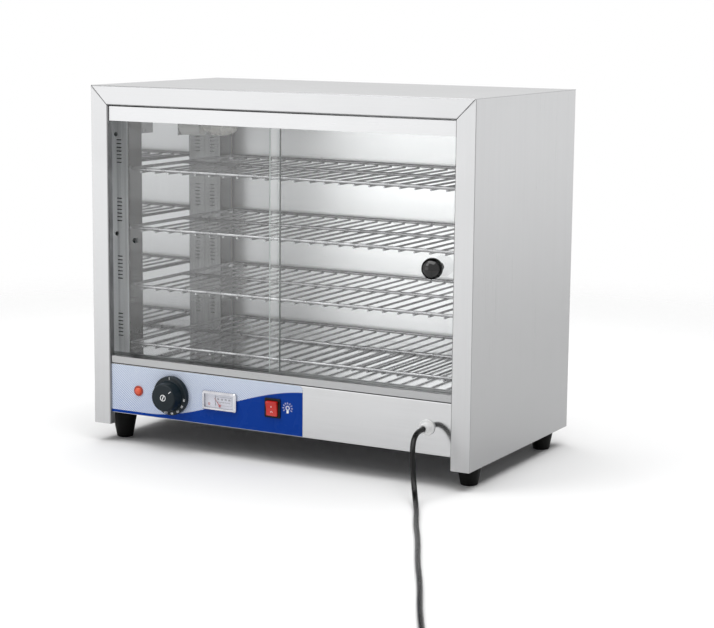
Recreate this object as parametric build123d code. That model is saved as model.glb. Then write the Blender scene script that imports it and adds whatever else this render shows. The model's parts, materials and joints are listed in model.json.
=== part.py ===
from build123d import *
import math
import os

os.makedirs("parts", exist_ok=True)

# A countertop pie warmer, in millimetres.
# X runs across the front, Y from front to back and Z up from the surface that it stands on.

# Casing of folded stainless sheet
CASE_W = 580.0
CASE_D = 320.0
CASE_H = 470.0
FOOT_DROP = 26.0
SHEET = 1.0
BEND = 1.6
STILE_W = 27.0
STILE_RETURN = 10.0
RAIL_H = 26.5
RAIL_RETURN = 12.0
SEAM = 0.3
SKIRT_DROP = 17.0
SIDE_LIP = 14.0
TOP_LIP = 12.0
REAR_LIP = 18.0
TRAY_LIP = 12.0
CLEAR = 0.3

# Control panel across the foot of the front, and the film on it
PANEL_RECESS = 4.0
PANEL_H = 70.0
PANEL_SIDE_GAP = 0.4
PANEL_LIP = 8.0
FILM_T = 0.5
FILM_W = 307.1
FILM_MARGIN = 0.6
FILM_CORNER = 6.0

# Door tracks and sliding glass
TRACK_SETBACK = 3.0
TRACK_WALL = 1.5
TRACK_DEPTH = 31.0
SILL_GAP = 0.5
SILL_H = 9.5
SILL_GROOVE = 7.0
HEAD_GAP = 1.5
HEAD_H = 19.5
HEAD_GROOVE = 14.0
FRONT_PANE_Y = 16.0
PANE_STEP = 12.0
PANE_T = 4.0
PANE_SIDE_CLEAR = 0.5
PANE_IN_HEAD = 6.0
PANE_OVERLAP = 10.0
PANE_CHAMFER = 0.6
LEFT_STOP_W = 3.0
RIGHT_STOP_W = 20.4
STOP_H = 6.0
PULL_INSET = 33.0
LEFT_PULL_INSET = 48.0
PULL_BELOW_MIDDLE = 2.75
PANE_HOLE_D = 7.0
KNOB_D = 27.5
KNOB_BASE_D = 13.0
KNOB_NECK = 3.0
WASHER_T = 1.0
WASHER_D = 13.0
KNOB_SCREW_D = 5.0
KNOB_SCREW_DEPTH = 12.0
KNOB_SCREW_HEAD_D = 10.0
KNOB_SCREW_HEAD_T = 2.2

# Heated chamber: deck, corner posts and wire shelves
DECK_ABOVE_SKIRT = 95.0
DECK_LIP = 12.0
POST_PROUD = 30.0
POST_D = 33.0
FRONT_POST_Y = 46.0
REAR_POST_BACK_GAP = 3.0
POST_HOLE_D = 6.0
POST_HOLE_INSET = 9.0
POST_LOW_HOLE = 167.0
POST_HIGH_HOLE = 68.3
SHELF_COUNT = 4
FIRST_SHELF = 110.6
TOP_SHELF_DROP = 114.5
SHELF_SIDE_GAP = 1.2
SHELF_FRONT_Y = 38.0
SHELF_REAR_GAP = 7.0
ROD_D = 4.5
ROD_SIDES = 8
WIRE_D = 3.0
WIRE_SIDES = 6
WIRE_COUNT = 22
WIRE_TIP = 1.6
WELD = 0.3
SHELF_CORNER_R = 9.0
CLIP_W = 10.0
CLIP_T = 1.5
CLIP_REACH = 8.0
CLIP_TAIL = 5.0
CLIP_LIP = 3.0
CLIP_SEAT = 0.1

# Controls on the panel: places are from the casing's left side and above its skirt
CONTROL_H = 51.5
LAMP_X = 72.6
LAMP_RIM_D = 14.6
LAMP_LENS_D = 11.6
LAMP_BODY_D = 12.0
LAMP_BODY_L = 20.0
LAMP_RIM_T = 1.6
LAMP_DOME = 2.4
DIAL_X = 128.7
DIAL_STAND = 24.0
DIAL_SKIRT_D = 54.0
DIAL_SKIRT_T = 7.0
DIAL_CAP_D = 42.0
DIAL_CAP_TOP_D = 38.0
DIAL_WALL = 2.0
DIAL_OFF_PANEL = 0.8
DIAL_HUB_D = 12.0
SHAFT_D = 6.0
SHAFT_CLEAR = 0.05
SHAFT_IN_BODY = 14.0
BUSH_D = 10.0
BUSH_PROUD = 5.0
STAT_W = 38.0
STAT_H = 34.0
STAT_D = 32.0
GAUGE_X = 206.1
GAUGE_W = 54.0
GAUGE_H = 26.0
GAUGE_R = 3.0
GAUGE_PROUD = 4.5
GAUGE_RIM = 3.6
GAUGE_BODY_W = 48.5
GAUGE_BODY_H = 20.0
GAUGE_BODY_D = 16.0
GAUGE_FACE_T = 0.6
GAUGE_POCKET = 5.0
GAUGE_GLASS_T = 1.2
NEEDLE_T = 0.4
NEEDLE_L = 13.5
NEEDLE_W = 1.0
NEEDLE_HUB_D = 4.0
NEEDLE_PIN_D = 1.2
NEEDLE_LOW = 6.5
NEEDLE_REST = -40.0
SWITCH_FROM_FILM_END = 45.3
SWITCH_W = 24.5
SWITCH_H = 26.4
SWITCH_RIM_T = 2.0
SWITCH_BODY_W = 20.6
SWITCH_BODY_H = 22.6
SWITCH_BODY_D = 22.0
ROCKER_W = 16.4
ROCKER_H = 20.0
ROCKER_GAP = 0.4
ROCKER_TILT = 8.0
ROCKER_RISE = 3.4
ROCKER_DIP = 2.2
ROCKER_DEEP = 3.0
ROCKER_PIN_D = 2.4
ROCKER_PIN_L = 1.0
POCKET_DEPTH = 9.0

# Heating and wiring inside the foot of the cabinet
ELEMENT_D = 8.0
ELEMENT_H = 46.0
ELEMENT_R = 32.0
ELEMENT_SIDE_GAP = 85.0
ELEMENT_FRONT_GAP = 118.0
ELEMENT_REAR_GAP = 88.0
ELEMENT_END_D = 12.0
ELEMENT_END_L = 16.0
STUD_D = 4.0
STUD_L = 10.0
BRACKET_W = 16.0
BRACKET_FOOT = 14.0
BRACKET_SIDE_GAP = 140.0
PROBE_D = 6.0
PROBE_L = 80.0
PROBE_STRAIGHT = 24.0
PROBE_SIDE = 12.0
PROBE_BACK = 14.0
PROBE_BEND = 8.0
TUBE_D = 2.0
TERMINAL_L = 52.0
TERMINAL_W = 20.0
TERMINAL_H = 16.0
TERMINAL_INSET = 128.0
TERMINAL_WAYS = 4
TERMINAL_WAY_D = 6.0
TERMINAL_Y = 95.0

# Chamber lamp under the ceiling at the left
HOLDER_D = 27.0
HOLDER_L = 34.0
BULB_D = 25.0
BULB_L = 56.0
BULB_NECK_D = 14.0
BULB_X = 96.0
BULB_Y = 178.0
BULB_DROP = 62.0
LAMP_PLATE_W = 30.0
LAMP_PLATE_FOOT = 18.0

# Mains lead
GLAND_INSET = 61.5
GLAND_FLANGE_D = 21.0
GLAND_FLANGE_T = 3.0
GLAND_BARREL_D = 14.0
GLAND_MOUTH_D = 10.6
GLAND_PROUD = 12.0
GLAND_IN = 10.0
GLAND_NUT_D = 20.0
GLAND_NUT_T = 4.0
GLAND_HOLE_CLEAR = 0.2
CORD_D = 7.0
CORD_FLOOR = CORD_D / 2
COIL_R = 44.5
COIL_STEP = 8.8
COIL_LIFT = 7.8
COIL_TURNS_IN = 4
COIL_TURNS_OUT = 5
COIL_END = CORD_D
PLUG_L = 38.0
PLUG_W = 27.0
PLUG_H = 21.0
PLUG_NECK_L = 16.0
PLUG_NECK_D = 10.0
PIN_T = 1.6
PIN_W = 6.3
PIN_L = 17.0
PIN_SPREAD = 7.0
PIN_ANGLE = 30.0

# Feet and fasteners
FOOT_X = 20.0
FOOT_Y = 43.7
FOOT_TOP_D = 36.0
FOOT_BASE_D = 23.0
FOOT_EDGE = 1.5
FOOT_WELL_D = 12.0
FOOT_WEB = 6.0
FOOT_SCREW_D = 5.0
FOOT_SCREW_HEAD_D = 9.5
FOOT_SCREW_HEAD_T = 3.5
FOOT_NUT_W = 8.0
FOOT_NUT_T = 4.0
REAR_SCREW_D = 3.5
REAR_SCREW_HEAD_D = 7.0
REAR_SCREW_HEAD_T = 1.8
REAR_SCREW_L = 4.0
REAR_SCREW_ROWS = 4
VENT_COUNT = 9
VENT_W = 4.0
VENT_L = 46.0
VENT_PITCH = 14.0

# Planes that the pieces share
HALF_W = CASE_W / 2
INSIDE_X = HALF_W - SHEET
REACH = DIAL_STAND - PANEL_RECESS
FRONT = (REACH - CASE_D - REAR_SCREW_HEAD_T) / 2
BACK = FRONT + CASE_D
BACK_FACE = BACK - 2 * SHEET
Z_SKIRT = FOOT_DROP
Z_TOP = Z_SKIRT + CASE_H
Z_CEIL = Z_TOP - SHEET
Z_BASE = Z_SKIRT + SKIRT_DROP
Z_PANEL = Z_BASE + PANEL_H
Z_SILL = Z_PANEL + SILL_GAP
Z_SILL_TOP = Z_SILL + SILL_H
Z_RAIL = Z_TOP - RAIL_H
Z_HEAD_TOP = Z_RAIL - HEAD_GAP
Z_HEAD = Z_HEAD_TOP - HEAD_H
Z_DECK = Z_SKIRT + DECK_ABOVE_SKIRT
PANEL_Y = FRONT + PANEL_RECESS
PANEL_BACK = PANEL_Y + SHEET
FILM_Y = PANEL_Y - FILM_T
PANEL_HALF_W = HALF_W - STILE_W - PANEL_SIDE_GAP
TRACK_Y = FRONT + TRACK_SETBACK
TRACK_BACK = TRACK_Y + TRACK_DEPTH
GROOVE_W = PANE_T + 2 * PANE_SIDE_CLEAR
PANE_Y = [FRONT + FRONT_PANE_Y, FRONT + FRONT_PANE_Y + PANE_STEP]
PANE_BOTTOM = Z_SILL_TOP - SILL_GROOVE + CLEAR
PANE_TOP = Z_HEAD + PANE_IN_HEAD
OPENING_W = 2 * INSIDE_X - LEFT_STOP_W - RIGHT_STOP_W - 2 * CLEAR
PANE_W = (OPENING_W + PANE_OVERLAP) / 2
LEFT_PANE_X = -INSIDE_X + LEFT_STOP_W + CLEAR
RIGHT_PANE_X = INSIDE_X - RIGHT_STOP_W - CLEAR - PANE_W
POST_Y = [FRONT + FRONT_POST_Y, BACK_FACE - REAR_POST_BACK_GAP - POST_D]
POST_TOP = Z_CEIL - SHEET
SHELF_X = HALF_W - POST_PROUD - SHELF_SIDE_GAP - ROD_D / 2
SHELF_Y = [FRONT + SHELF_FRONT_Y + ROD_D / 2, BACK - SHELF_REAR_GAP - ROD_D / 2]
SHELF_PITCH = (Z_CEIL - TOP_SHELF_DROP - Z_SKIRT - FIRST_SHELF) / (SHELF_COUNT - 1)
SHELF_Z = [Z_SKIRT + FIRST_SHELF + SHELF_PITCH * n for n in range(SHELF_COUNT)]
CONTROL_Z = Z_SKIRT + CONTROL_H
SWITCH_X = STILE_W + PANEL_SIDE_GAP + FILM_W - SWITCH_FROM_FILM_END
GLAND_X = HALF_W - GLAND_INSET
ELEMENT_X = HALF_W - ELEMENT_SIDE_GAP
ELEMENT_Z = Z_BASE + ELEMENT_H
ELEMENT_Y = [FRONT + ELEMENT_FRONT_GAP, BACK - ELEMENT_REAR_GAP]
PULL_Z = (Z_SILL_TOP + Z_HEAD) / 2 - PULL_BELOW_MIDDLE


def from_left(distance):
    """X of a place given by its distance from the casing's left side."""
    return distance - HALF_W


def block(x_range, y_range, z_range):
    """A box between two values on each axis."""
    size = [high - low for low, high in (x_range, y_range, z_range)]
    corner = Pos(x_range[0], y_range[0], z_range[0])
    return corner * Box(*size, align=(Align.MIN, Align.MIN, Align.MIN))


def rod_x(radius, x_range, y, z):
    """A cylinder along X."""
    middle = Pos((x_range[0] + x_range[1]) / 2, y, z)
    return middle * Rot(0, 90, 0) * Cylinder(radius, x_range[1] - x_range[0])


def rod_y(radius, x, y_range, z):
    """A cylinder along Y."""
    middle = Pos(x, (y_range[0] + y_range[1]) / 2, z)
    return middle * Rot(90, 0, 0) * Cylinder(radius, y_range[1] - y_range[0])


def rod_z(radius, x, y, z_range):
    """A cylinder along Z."""
    middle = Pos(x, y, (z_range[0] + z_range[1]) / 2)
    return middle * Cylinder(radius, z_range[1] - z_range[0])


def folded_x(points, half_length):
    """Sheet folded along the (y, z) centre line in points, running along X."""
    section = trace(FilletPolyline(*points, radius=BEND), line_width=SHEET)
    return extrude(Plane.YZ * section, amount=half_length, both=True)


def folded_z(points, z_range):
    """Sheet folded along the (x, y) centre line in points, running along Z."""
    section = trace(FilletPolyline(*points, radius=BEND), line_width=SHEET)
    return Pos(0, 0, z_range[0]) * extrude(section, amount=z_range[1] - z_range[0])


def rounded_plate(width, height, radius, x, z, y_range):
    """A plate in the XZ plane with rounded corners, between two Y values."""
    face = Plane.XZ.offset(-y_range[1]) * Pos(x, z) * RectangleRounded(width, height, radius)
    return extrude(face, amount=y_range[1] - y_range[0])


def turned_y(profile, x, y, z):
    """A solid turned about the Y axis from (radius, forward) points, forward being towards -Y."""
    face = make_face(Polyline(*profile, close=True))
    upright = revolve(Plane.XZ * face, axis=Axis.Z)
    return Pos(x, y, z) * Rot(90, 0, 0) * upright


def turned_z(profile, x, y, z):
    """A solid turned about the Z axis from (radius, height) points."""
    face = make_face(Polyline(*profile, close=True))
    return Pos(x, y, z) * revolve(Plane.XZ * face, axis=Axis.Z)


def mirrored(shape):
    """The same piece on the other side of the middle plane."""
    return mirror(shape, about=Plane.YZ)


def mitre_wedge(top_z, lowered):
    """What lies below the right-hand mitre line of the front frame, less a lowered gap."""
    line_high = (HALF_W + 1, top_z - SHEET - lowered)
    line_low = (HALF_W - STILE_W, Z_RAIL - lowered)
    foot_low = (HALF_W - STILE_W, Z_RAIL - RAIL_H)
    foot_high = (HALF_W + 1, Z_RAIL - RAIL_H)
    face = make_face(Polyline(line_high, line_low, foot_low, foot_high, close=True))
    return extrude(Plane.XZ.offset(-FRONT - RAIL_RETURN - 1) * face, amount=RAIL_RETURN + 2)


def top_cover():
    mid = SHEET / 2
    line = [
        (FRONT + RAIL_RETURN, Z_RAIL + mid),
        (FRONT + mid, Z_RAIL + mid),
        (FRONT + mid, Z_TOP - mid),
        (BACK - mid, Z_TOP - mid),
        (BACK - mid, Z_TOP - REAR_LIP),
    ]
    cover = folded_x(line, HALF_W)
    wedge = mitre_wedge(Z_TOP, 0)
    inner_x = HALF_W - SIDE_LIP - CLEAR
    rear_x = HALF_W - REAR_LIP - CLEAR
    behind_rail = (FRONT + SHEET, FRONT + RAIL_RETURN + BEND)
    front_relief = block((inner_x, HALF_W + 1), behind_rail, (Z_RAIL - 1, Z_CEIL))
    return_relief = block((HALF_W - STILE_W, HALF_W + 1), behind_rail, (Z_RAIL - 1, Z_RAIL + 2 * SHEET))
    rear_relief = block((rear_x, HALF_W + 1), (BACK - SHEET - BEND, BACK + 1), (Z_RAIL - 9, Z_CEIL))
    for cutter in (wedge, front_relief, return_relief, rear_relief):
        cover = cover - cutter - mirrored(cutter)
    return cover


def right_stile():
    mid = SHEET / 2
    inner = HALF_W - STILE_W + mid
    line = [(inner, FRONT + STILE_RETURN), (inner, FRONT + mid), (HALF_W, FRONT + mid)]
    stile = folded_z(line, (Z_SKIRT, Z_TOP - SHEET))
    keep = mitre_wedge(Z_TOP, SEAM)
    below = block((0, HALF_W + 2), (FRONT - 1, FRONT + 2 * RAIL_RETURN), (0, Z_RAIL - RAIL_H))
    return stile & (keep + below)


def right_side():
    mid = SHEET / 2
    line = [
        (HALF_W - SIDE_LIP, FRONT + SHEET + mid),
        (HALF_W - mid, FRONT + SHEET + mid),
        (HALF_W - mid, BACK - mid),
        (HALF_W - REAR_LIP, BACK - mid),
    ]
    wall = folded_z(line, (Z_SKIRT, Z_CEIL))
    lip_y = (TRACK_BACK, BACK_FACE - REAR_POST_BACK_GAP)
    lip = block((HALF_W - TOP_LIP, HALF_W - mid), lip_y, (Z_CEIL - SHEET, Z_CEIL))
    wall = wall + lip
    for z in rear_screw_heights():
        wall = wall - rod_y(REAR_SCREW_D / 2 + CLEAR, rear_screw_x(), (BACK - 2 * SHEET, BACK + 1), z)
    return wall


def rear_screw_x():
    return HALF_W - REAR_LIP / 2 - SHEET


def rear_screw_heights():
    low = Z_BASE + TRAY_LIP + REAR_SCREW_HEAD_D
    high = Z_TOP - REAR_LIP - REAR_SCREW_HEAD_D
    step = (high - low) / (REAR_SCREW_ROWS - 1)
    return [low + step * row for row in range(REAR_SCREW_ROWS)]


def back_panel():
    half = INSIDE_X - BEND
    panel = block((-half, half), (BACK_FACE, BACK - SHEET), (Z_BASE, Z_CEIL - BEND))
    for z in rear_screw_heights():
        for x in (-rear_screw_x(), rear_screw_x()):
            panel = panel - rod_y(REAR_SCREW_D / 2, x, (BACK_FACE - 1, BACK), z)
    return panel


def casing_screws():
    """Pan-head screws that hold the back panel to the side panels."""
    screws = []
    for z in rear_screw_heights():
        for x in (-rear_screw_x(), rear_screw_x()):
            head_r = REAR_SCREW_HEAD_D / 2
            shank_r = REAR_SCREW_D / 2 - SHAFT_CLEAR
            profile = [
                (0, -REAR_SCREW_HEAD_T),
                (head_r * 0.6, -REAR_SCREW_HEAD_T),
                (head_r, -REAR_SCREW_HEAD_T * 0.4),
                (head_r, 0),
                (shank_r, 0),
                (shank_r, REAR_SCREW_L),
                (0, REAR_SCREW_L),
            ]
            screws.append(turned_y(profile, x, BACK, z))
    return screws


def stile_notch(x_clear, y_clear):
    """The space that the right stile's return flange takes, with clearance round it."""
    x_range = (HALF_W - STILE_W - x_clear, HALF_W + 1)
    return block(x_range, (FRONT - REACH, FRONT + STILE_RETURN + y_clear), (0, Z_TOP))


def base_plate():
    """Tray that closes the cabinet underneath and carries the feet."""
    mid = SHEET / 2
    front_y = PANEL_BACK + mid
    back_y = BACK_FACE - mid
    lip_top = Z_BASE + TRAY_LIP
    line = [(front_y, lip_top), (front_y, Z_BASE + mid), (back_y, Z_BASE + mid), (back_y, lip_top)]
    tray = folded_x(line, INSIDE_X)
    lip_y = (PANEL_BACK + 2 * STILE_RETURN, BACK_FACE - 2 * BEND)
    side_lip = block((INSIDE_X - SHEET, INSIDE_X), lip_y, (Z_BASE + mid, lip_top))
    tray = tray + side_lip + mirrored(side_lip)
    notch = stile_notch(CLEAR, CLEAR)
    tray = tray - notch - mirrored(notch)
    for x, y in foot_places():
        tray = tray - rod_z(FOOT_SCREW_D / 2 + CLEAR, x, y, (Z_BASE - 1, Z_BASE + 2 * SHEET))
    for n in range(VENT_COUNT):
        x = (n - (VENT_COUNT - 1) / 2) * VENT_PITCH
        slot = Pos(x, (FRONT + BACK) / 2, Z_BASE) * Rot(0, 0, 90) * SlotOverall(VENT_L, VENT_W)
        tray = tray - extrude(slot, amount=2 * SHEET)
    return tray


def foot_places():
    x = HALF_W - FOOT_X
    return [(sx * x, y) for y in (FRONT + FOOT_Y, BACK - FOOT_Y) for sx in (-1, 1)]


def foot(x, y):
    """A tapered rubber foot with a well for its screw."""
    top_r = FOOT_TOP_D / 2
    base_r = FOOT_BASE_D / 2
    well_r = FOOT_WELL_D / 2
    bore_r = FOOT_SCREW_D / 2 + CLEAR
    shoulder = Z_BASE - FOOT_WEB
    profile = [
        (well_r, 0),
        (base_r - FOOT_EDGE, 0),
        (base_r, FOOT_EDGE),
        (top_r, shoulder),
        (top_r, Z_BASE),
        (bore_r, Z_BASE),
        (bore_r, shoulder),
        (well_r, shoulder),
    ]
    return turned_z(profile, x, y, 0)


def foot_screws():
    """A screw up through each foot, with its nut on the base plate."""
    pieces = []
    head_top = Z_BASE - FOOT_WEB
    nut_z = Z_BASE + SHEET
    shank_r = FOOT_SCREW_D / 2
    for x, y in foot_places():
        head = rod_z(FOOT_SCREW_HEAD_D / 2, x, y, (head_top - FOOT_SCREW_HEAD_T, head_top))
        shank = rod_z(shank_r, x, y, (head_top, nut_z + FOOT_NUT_T + 1))
        nut_face = Pos(x, y, nut_z) * RegularPolygon(FOOT_NUT_W / 2, 6, major_radius=False)
        pieces.append(head + shank + extrude(nut_face, amount=FOOT_NUT_T))
    return pieces


def control_panel():
    mid = SHEET / 2
    lip_y = PANEL_Y + PANEL_LIP
    line = [(PANEL_Y + mid, Z_BASE), (PANEL_Y + mid, Z_PANEL - mid), (lip_y, Z_PANEL - mid)]
    panel = folded_x(line, PANEL_HALF_W)
    deep = (PANEL_Y - 1, PANEL_BACK + 1)
    x_dial, x_lamp = from_left(DIAL_X), from_left(LAMP_X)
    panel = panel - rod_y(BUSH_D / 2 + CLEAR, x_dial, deep, CONTROL_Z)
    panel = panel - rod_y(LAMP_BODY_D / 2 + CLEAR, x_lamp, deep, CONTROL_Z)
    panel = panel - rod_y(GLAND_BARREL_D / 2 + GLAND_HOLE_CLEAR, GLAND_X, deep, CONTROL_Z)
    panel = panel - control_windows(deep)
    return panel


def control_windows(y_range):
    """The rectangular cut-outs for the thermometer and the switch."""
    gauge_w, gauge_h = GAUGE_BODY_W + 2 * CLEAR, GAUGE_BODY_H + 2 * CLEAR
    switch_w, switch_h = SWITCH_BODY_W + 2 * CLEAR, SWITCH_BODY_H + 2 * CLEAR
    gauge_x, switch_x = from_left(GAUGE_X), from_left(SWITCH_X)
    z_gauge = (CONTROL_Z - gauge_h / 2, CONTROL_Z + gauge_h / 2)
    z_switch = (CONTROL_Z - switch_h / 2, CONTROL_Z + switch_h / 2)
    gauge = block((gauge_x - gauge_w / 2, gauge_x + gauge_w / 2), y_range, z_gauge)
    switch = block((switch_x - switch_w / 2, switch_x + switch_w / 2), y_range, z_switch)
    return gauge + switch


def panel_film():
    """The printed film on the left part of the control panel."""
    x0 = -PANEL_HALF_W
    x1 = x0 + FILM_W
    z0, z1 = Z_BASE + FILM_MARGIN, Z_PANEL - FILM_MARGIN - SHEET
    sheet = block((x0, x1), (FILM_Y, PANEL_Y), (z0, z1))
    corner = sheet.edges().filter_by(Axis.Y).sort_by(Axis.X)[-2:].sort_by(Axis.Z)[-1]
    sheet = fillet(corner, FILM_CORNER)
    deep = (FILM_Y - 1, PANEL_Y + 1)
    sheet = sheet - rod_y(BUSH_D / 2 + CLEAR, from_left(DIAL_X), deep, CONTROL_Z)
    sheet = sheet - rod_y(LAMP_BODY_D / 2 + CLEAR, from_left(LAMP_X), deep, CONTROL_Z)
    return sheet - control_windows(deep)


def track(z_range, groove_z):
    """An extruded double track for the two panes, notched round the stile flanges."""
    rail = block((-INSIDE_X, INSIDE_X), (TRACK_Y, TRACK_BACK), z_range)
    for y in PANE_Y:
        groove_y = (y - GROOVE_W / 2, y + GROOVE_W / 2)
        rail = rail - block((-HALF_W, HALF_W), groove_y, groove_z)
    hollow_y = (TRACK_Y + TRACK_WALL, PANE_Y[0] - GROOVE_W / 2 - TRACK_WALL)
    hollow_z = (z_range[0] + TRACK_WALL, z_range[1] - TRACK_WALL)
    rail = rail - block((-HALF_W, HALF_W), hollow_y, hollow_z)
    notch = stile_notch(2 * PANEL_SIDE_GAP, CLEAR)
    return rail - notch - mirrored(notch)


def sill_track():
    return track((Z_SILL, Z_SILL_TOP), (Z_SILL_TOP - SILL_GROOVE, Z_SILL_TOP + 1))


def head_track():
    return track((Z_HEAD, Z_HEAD_TOP), (Z_HEAD - 1, Z_HEAD + HEAD_GROOVE))


def door_stops():
    """Rubber blocks in the ends of the sill grooves that each pane closes against."""
    floor = Z_SILL_TOP - SILL_GROOVE
    z_range = (floor, floor + STOP_H)
    half = GROOVE_W / 2 - SHAFT_CLEAR
    right_y = (PANE_Y[0] - half, PANE_Y[0] + half)
    left_y = (PANE_Y[1] - half, PANE_Y[1] + half)
    right = block((INSIDE_X - RIGHT_STOP_W, INSIDE_X), right_y, z_range)
    left = block((-INSIDE_X, -INSIDE_X + LEFT_STOP_W), left_y, z_range)
    return [right, left]


def pane(x, y, hole_x):
    """One sheet of toughened glass with ground edges and a hole for its pull."""
    y_range = (y - PANE_T / 2, y + PANE_T / 2)
    glass = block((x, x + PANE_W), y_range, (PANE_BOTTOM, PANE_TOP))
    upright = glass.edges().filter_by(Axis.Z)
    glass = chamfer(upright, PANE_CHAMFER)
    return glass - rod_y(PANE_HOLE_D / 2, hole_x, (y - PANE_T, y + PANE_T), PULL_Z)


def knob_x():
    return RIGHT_PANE_X + PANE_W - PULL_INSET


def door_knob():
    """A ball knob with a flat seat and a blind hole for its screw."""
    seat_y = PANE_Y[0] - PANE_T / 2 - WASHER_T
    centre_y = seat_y - KNOB_NECK - KNOB_D / 2 + 1
    ball = Pos(knob_x(), centre_y, PULL_Z) * Sphere(KNOB_D / 2)
    neck = rod_y(KNOB_BASE_D / 2, knob_x(), (centre_y, seat_y), PULL_Z)
    hole_y = (seat_y - KNOB_SCREW_DEPTH, seat_y + 1)
    return ball + neck - rod_y(KNOB_SCREW_D / 2 + SHAFT_CLEAR, knob_x(), hole_y, PULL_Z)


def knob_washers():
    """Thin soft washers on both faces of the glass."""
    washers = []
    front = PANE_Y[0] - PANE_T / 2
    back = PANE_Y[0] + PANE_T / 2
    for y_range in ((front - WASHER_T, front), (back, back + WASHER_T)):
        ring = rod_y(WASHER_D / 2, knob_x(), y_range, PULL_Z)
        bore = rod_y(KNOB_SCREW_D / 2 + SHAFT_CLEAR, knob_x(), (front - 9, back + 9), PULL_Z)
        washers.append(ring - bore)
    return washers


def knob_screw():
    seat_y = PANE_Y[0] + PANE_T / 2 + WASHER_T
    tip_y = PANE_Y[0] - PANE_T / 2 - WASHER_T - KNOB_SCREW_DEPTH + 1
    head_y = (seat_y, seat_y + KNOB_SCREW_HEAD_T)
    shank = rod_y(KNOB_SCREW_D / 2, knob_x(), (tip_y, seat_y), PULL_Z)
    return shank + rod_y(KNOB_SCREW_HEAD_D / 2, knob_x(), head_y, PULL_Z)


def chamber_deck():
    """The floor of the heated chamber, a tray turned over so that its lips point down."""
    mid = SHEET / 2
    front_y, back_y = TRACK_BACK + mid, BACK_FACE - mid
    low = Z_DECK - DECK_LIP
    line = [(front_y, low), (front_y, Z_DECK - mid), (back_y, Z_DECK - mid), (back_y, low)]
    deck = folded_x(line, INSIDE_X)
    lip_y = (TRACK_BACK + 2 * BEND, BACK_FACE - 2 * BEND)
    lip = block((INSIDE_X - SHEET, INSIDE_X), lip_y, (low, Z_DECK - mid))
    return deck + lip + mirrored(lip)


def right_post(y_front):
    """A corner post folded as a channel, open towards the side panel, with slots for the shelf clips."""
    mid = SHEET / 2
    web = HALF_W - POST_PROUD + mid
    y0, y1 = y_front + mid, y_front + POST_D - mid
    post = folded_z([(INSIDE_X, y0), (web, y0), (web, y1), (INSIDE_X, y1)], (Z_DECK, POST_TOP))
    middle_y = y_front + POST_D / 2
    for z in SHELF_Z:
        top = clip_top(z) + CLEAR
        slot_y = (middle_y - CLIP_W / 2 - CLEAR, middle_y + CLIP_W / 2 + CLEAR)
        post = post - block((web - SHEET, web + SHEET), slot_y, (clip_top(z) - CLIP_T, top))
    flank_x = HALF_W - POST_HOLE_INSET
    for z in (Z_DECK + POST_LOW_HOLE, Z_CEIL - POST_HIGH_HOLE):
        post = post - rod_y(POST_HOLE_D / 2, flank_x, (y_front - 1, y_front + 2 * SHEET), z)
    return post


def clip_top(shelf_z):
    return shelf_z - ROD_D / 2


def shelf_clips():
    """Bent clips hooked through the post slots, one under each corner of each shelf."""
    clips = []
    web_x = HALF_W - POST_PROUD
    for shelf_z in SHELF_Z:
        top = clip_top(shelf_z)
        for y_front in POST_Y:
            middle = y_front + POST_D / 2
            y_range = (middle - CLIP_W / 2, middle + CLIP_W / 2)
            behind_web = web_x + SHEET + CLIP_SEAT
            tail_x = (behind_web, behind_web + CLIP_T)
            tab = block((web_x - CLIP_REACH, tail_x[1]), y_range, (top - CLIP_T, top))
            tail = block(tail_x, y_range, (top - CLIP_T, top + CLIP_TAIL))
            lip_x = (web_x - CLIP_REACH, web_x - CLIP_REACH + CLIP_T)
            lip = block(lip_x, y_range, (top - CLIP_T, top + CLIP_LIP - CLIP_T))
            clip = tab + tail + lip
            clips += [clip, mirrored(clip)]
    return clips


def flat_bar_face(diameter, sides):
    """The section of a drawn rod with flats above and below."""
    return Rot(0, 0, 90 + 180 / sides) * RegularPolygon(diameter / 2, sides, major_radius=False)


def wire_shelf(z):
    """A welded shelf: one rod bent round as a frame, a middle rod, and cross wires under them."""
    x, y0, y1 = SHELF_X, SHELF_Y[0], SHELF_Y[1]
    corners = [(-x, y0), (x, y0), (x, y1), (-x, y1)]
    frame_line = FilletPolyline(*[(px, py, z) for px, py in corners], radius=SHELF_CORNER_R, close=True)
    start = frame_line @ 0
    section = Plane(origin=start, x_dir=(0, 0, 1), z_dir=frame_line % 0) * flat_bar_face(ROD_D, ROD_SIDES)
    shelf = sweep(section, path=frame_line)
    bar_face = Plane.YZ * Pos((y0 + y1) / 2, z) * flat_bar_face(ROD_D, ROD_SIDES)
    shelf = shelf + extrude(bar_face, amount=x, both=True)
    wire_z = z - ROD_D / 2 - WIRE_D / 2 + WELD
    pitch = wire_pitch()
    first = -pitch * (WIRE_COUNT - 1) / 2
    half_run = (y1 - y0) / 2 + WIRE_TIP
    wires = []
    for n in range(WIRE_COUNT):
        face = Plane.XZ.offset(-(y0 + y1) / 2) * Pos(first + n * pitch, wire_z)
        face = face * flat_bar_face(WIRE_D, WIRE_SIDES)
        wires.append(extrude(face, amount=half_run, both=True))
    return shelf.fuse(*wires)


def wire_pitch():
    return 2 * SHELF_X / (WIRE_COUNT + 1)


def indicator_lamp():
    """The housing of the heating light, with a rim on the panel and a body behind it."""
    rim_r, body_r, lens_r = LAMP_RIM_D / 2, LAMP_BODY_D / 2, LAMP_LENS_D / 2 - 0.8
    profile = [
        (0, -LAMP_BODY_L),
        (body_r, -LAMP_BODY_L),
        (body_r, 0),
        (rim_r, 0),
        (rim_r - 0.5, LAMP_RIM_T),
        (lens_r, LAMP_RIM_T),
        (lens_r, -2),
        (0, -2),
    ]
    return turned_y(profile, from_left(LAMP_X), FILM_Y, CONTROL_Z)


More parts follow.
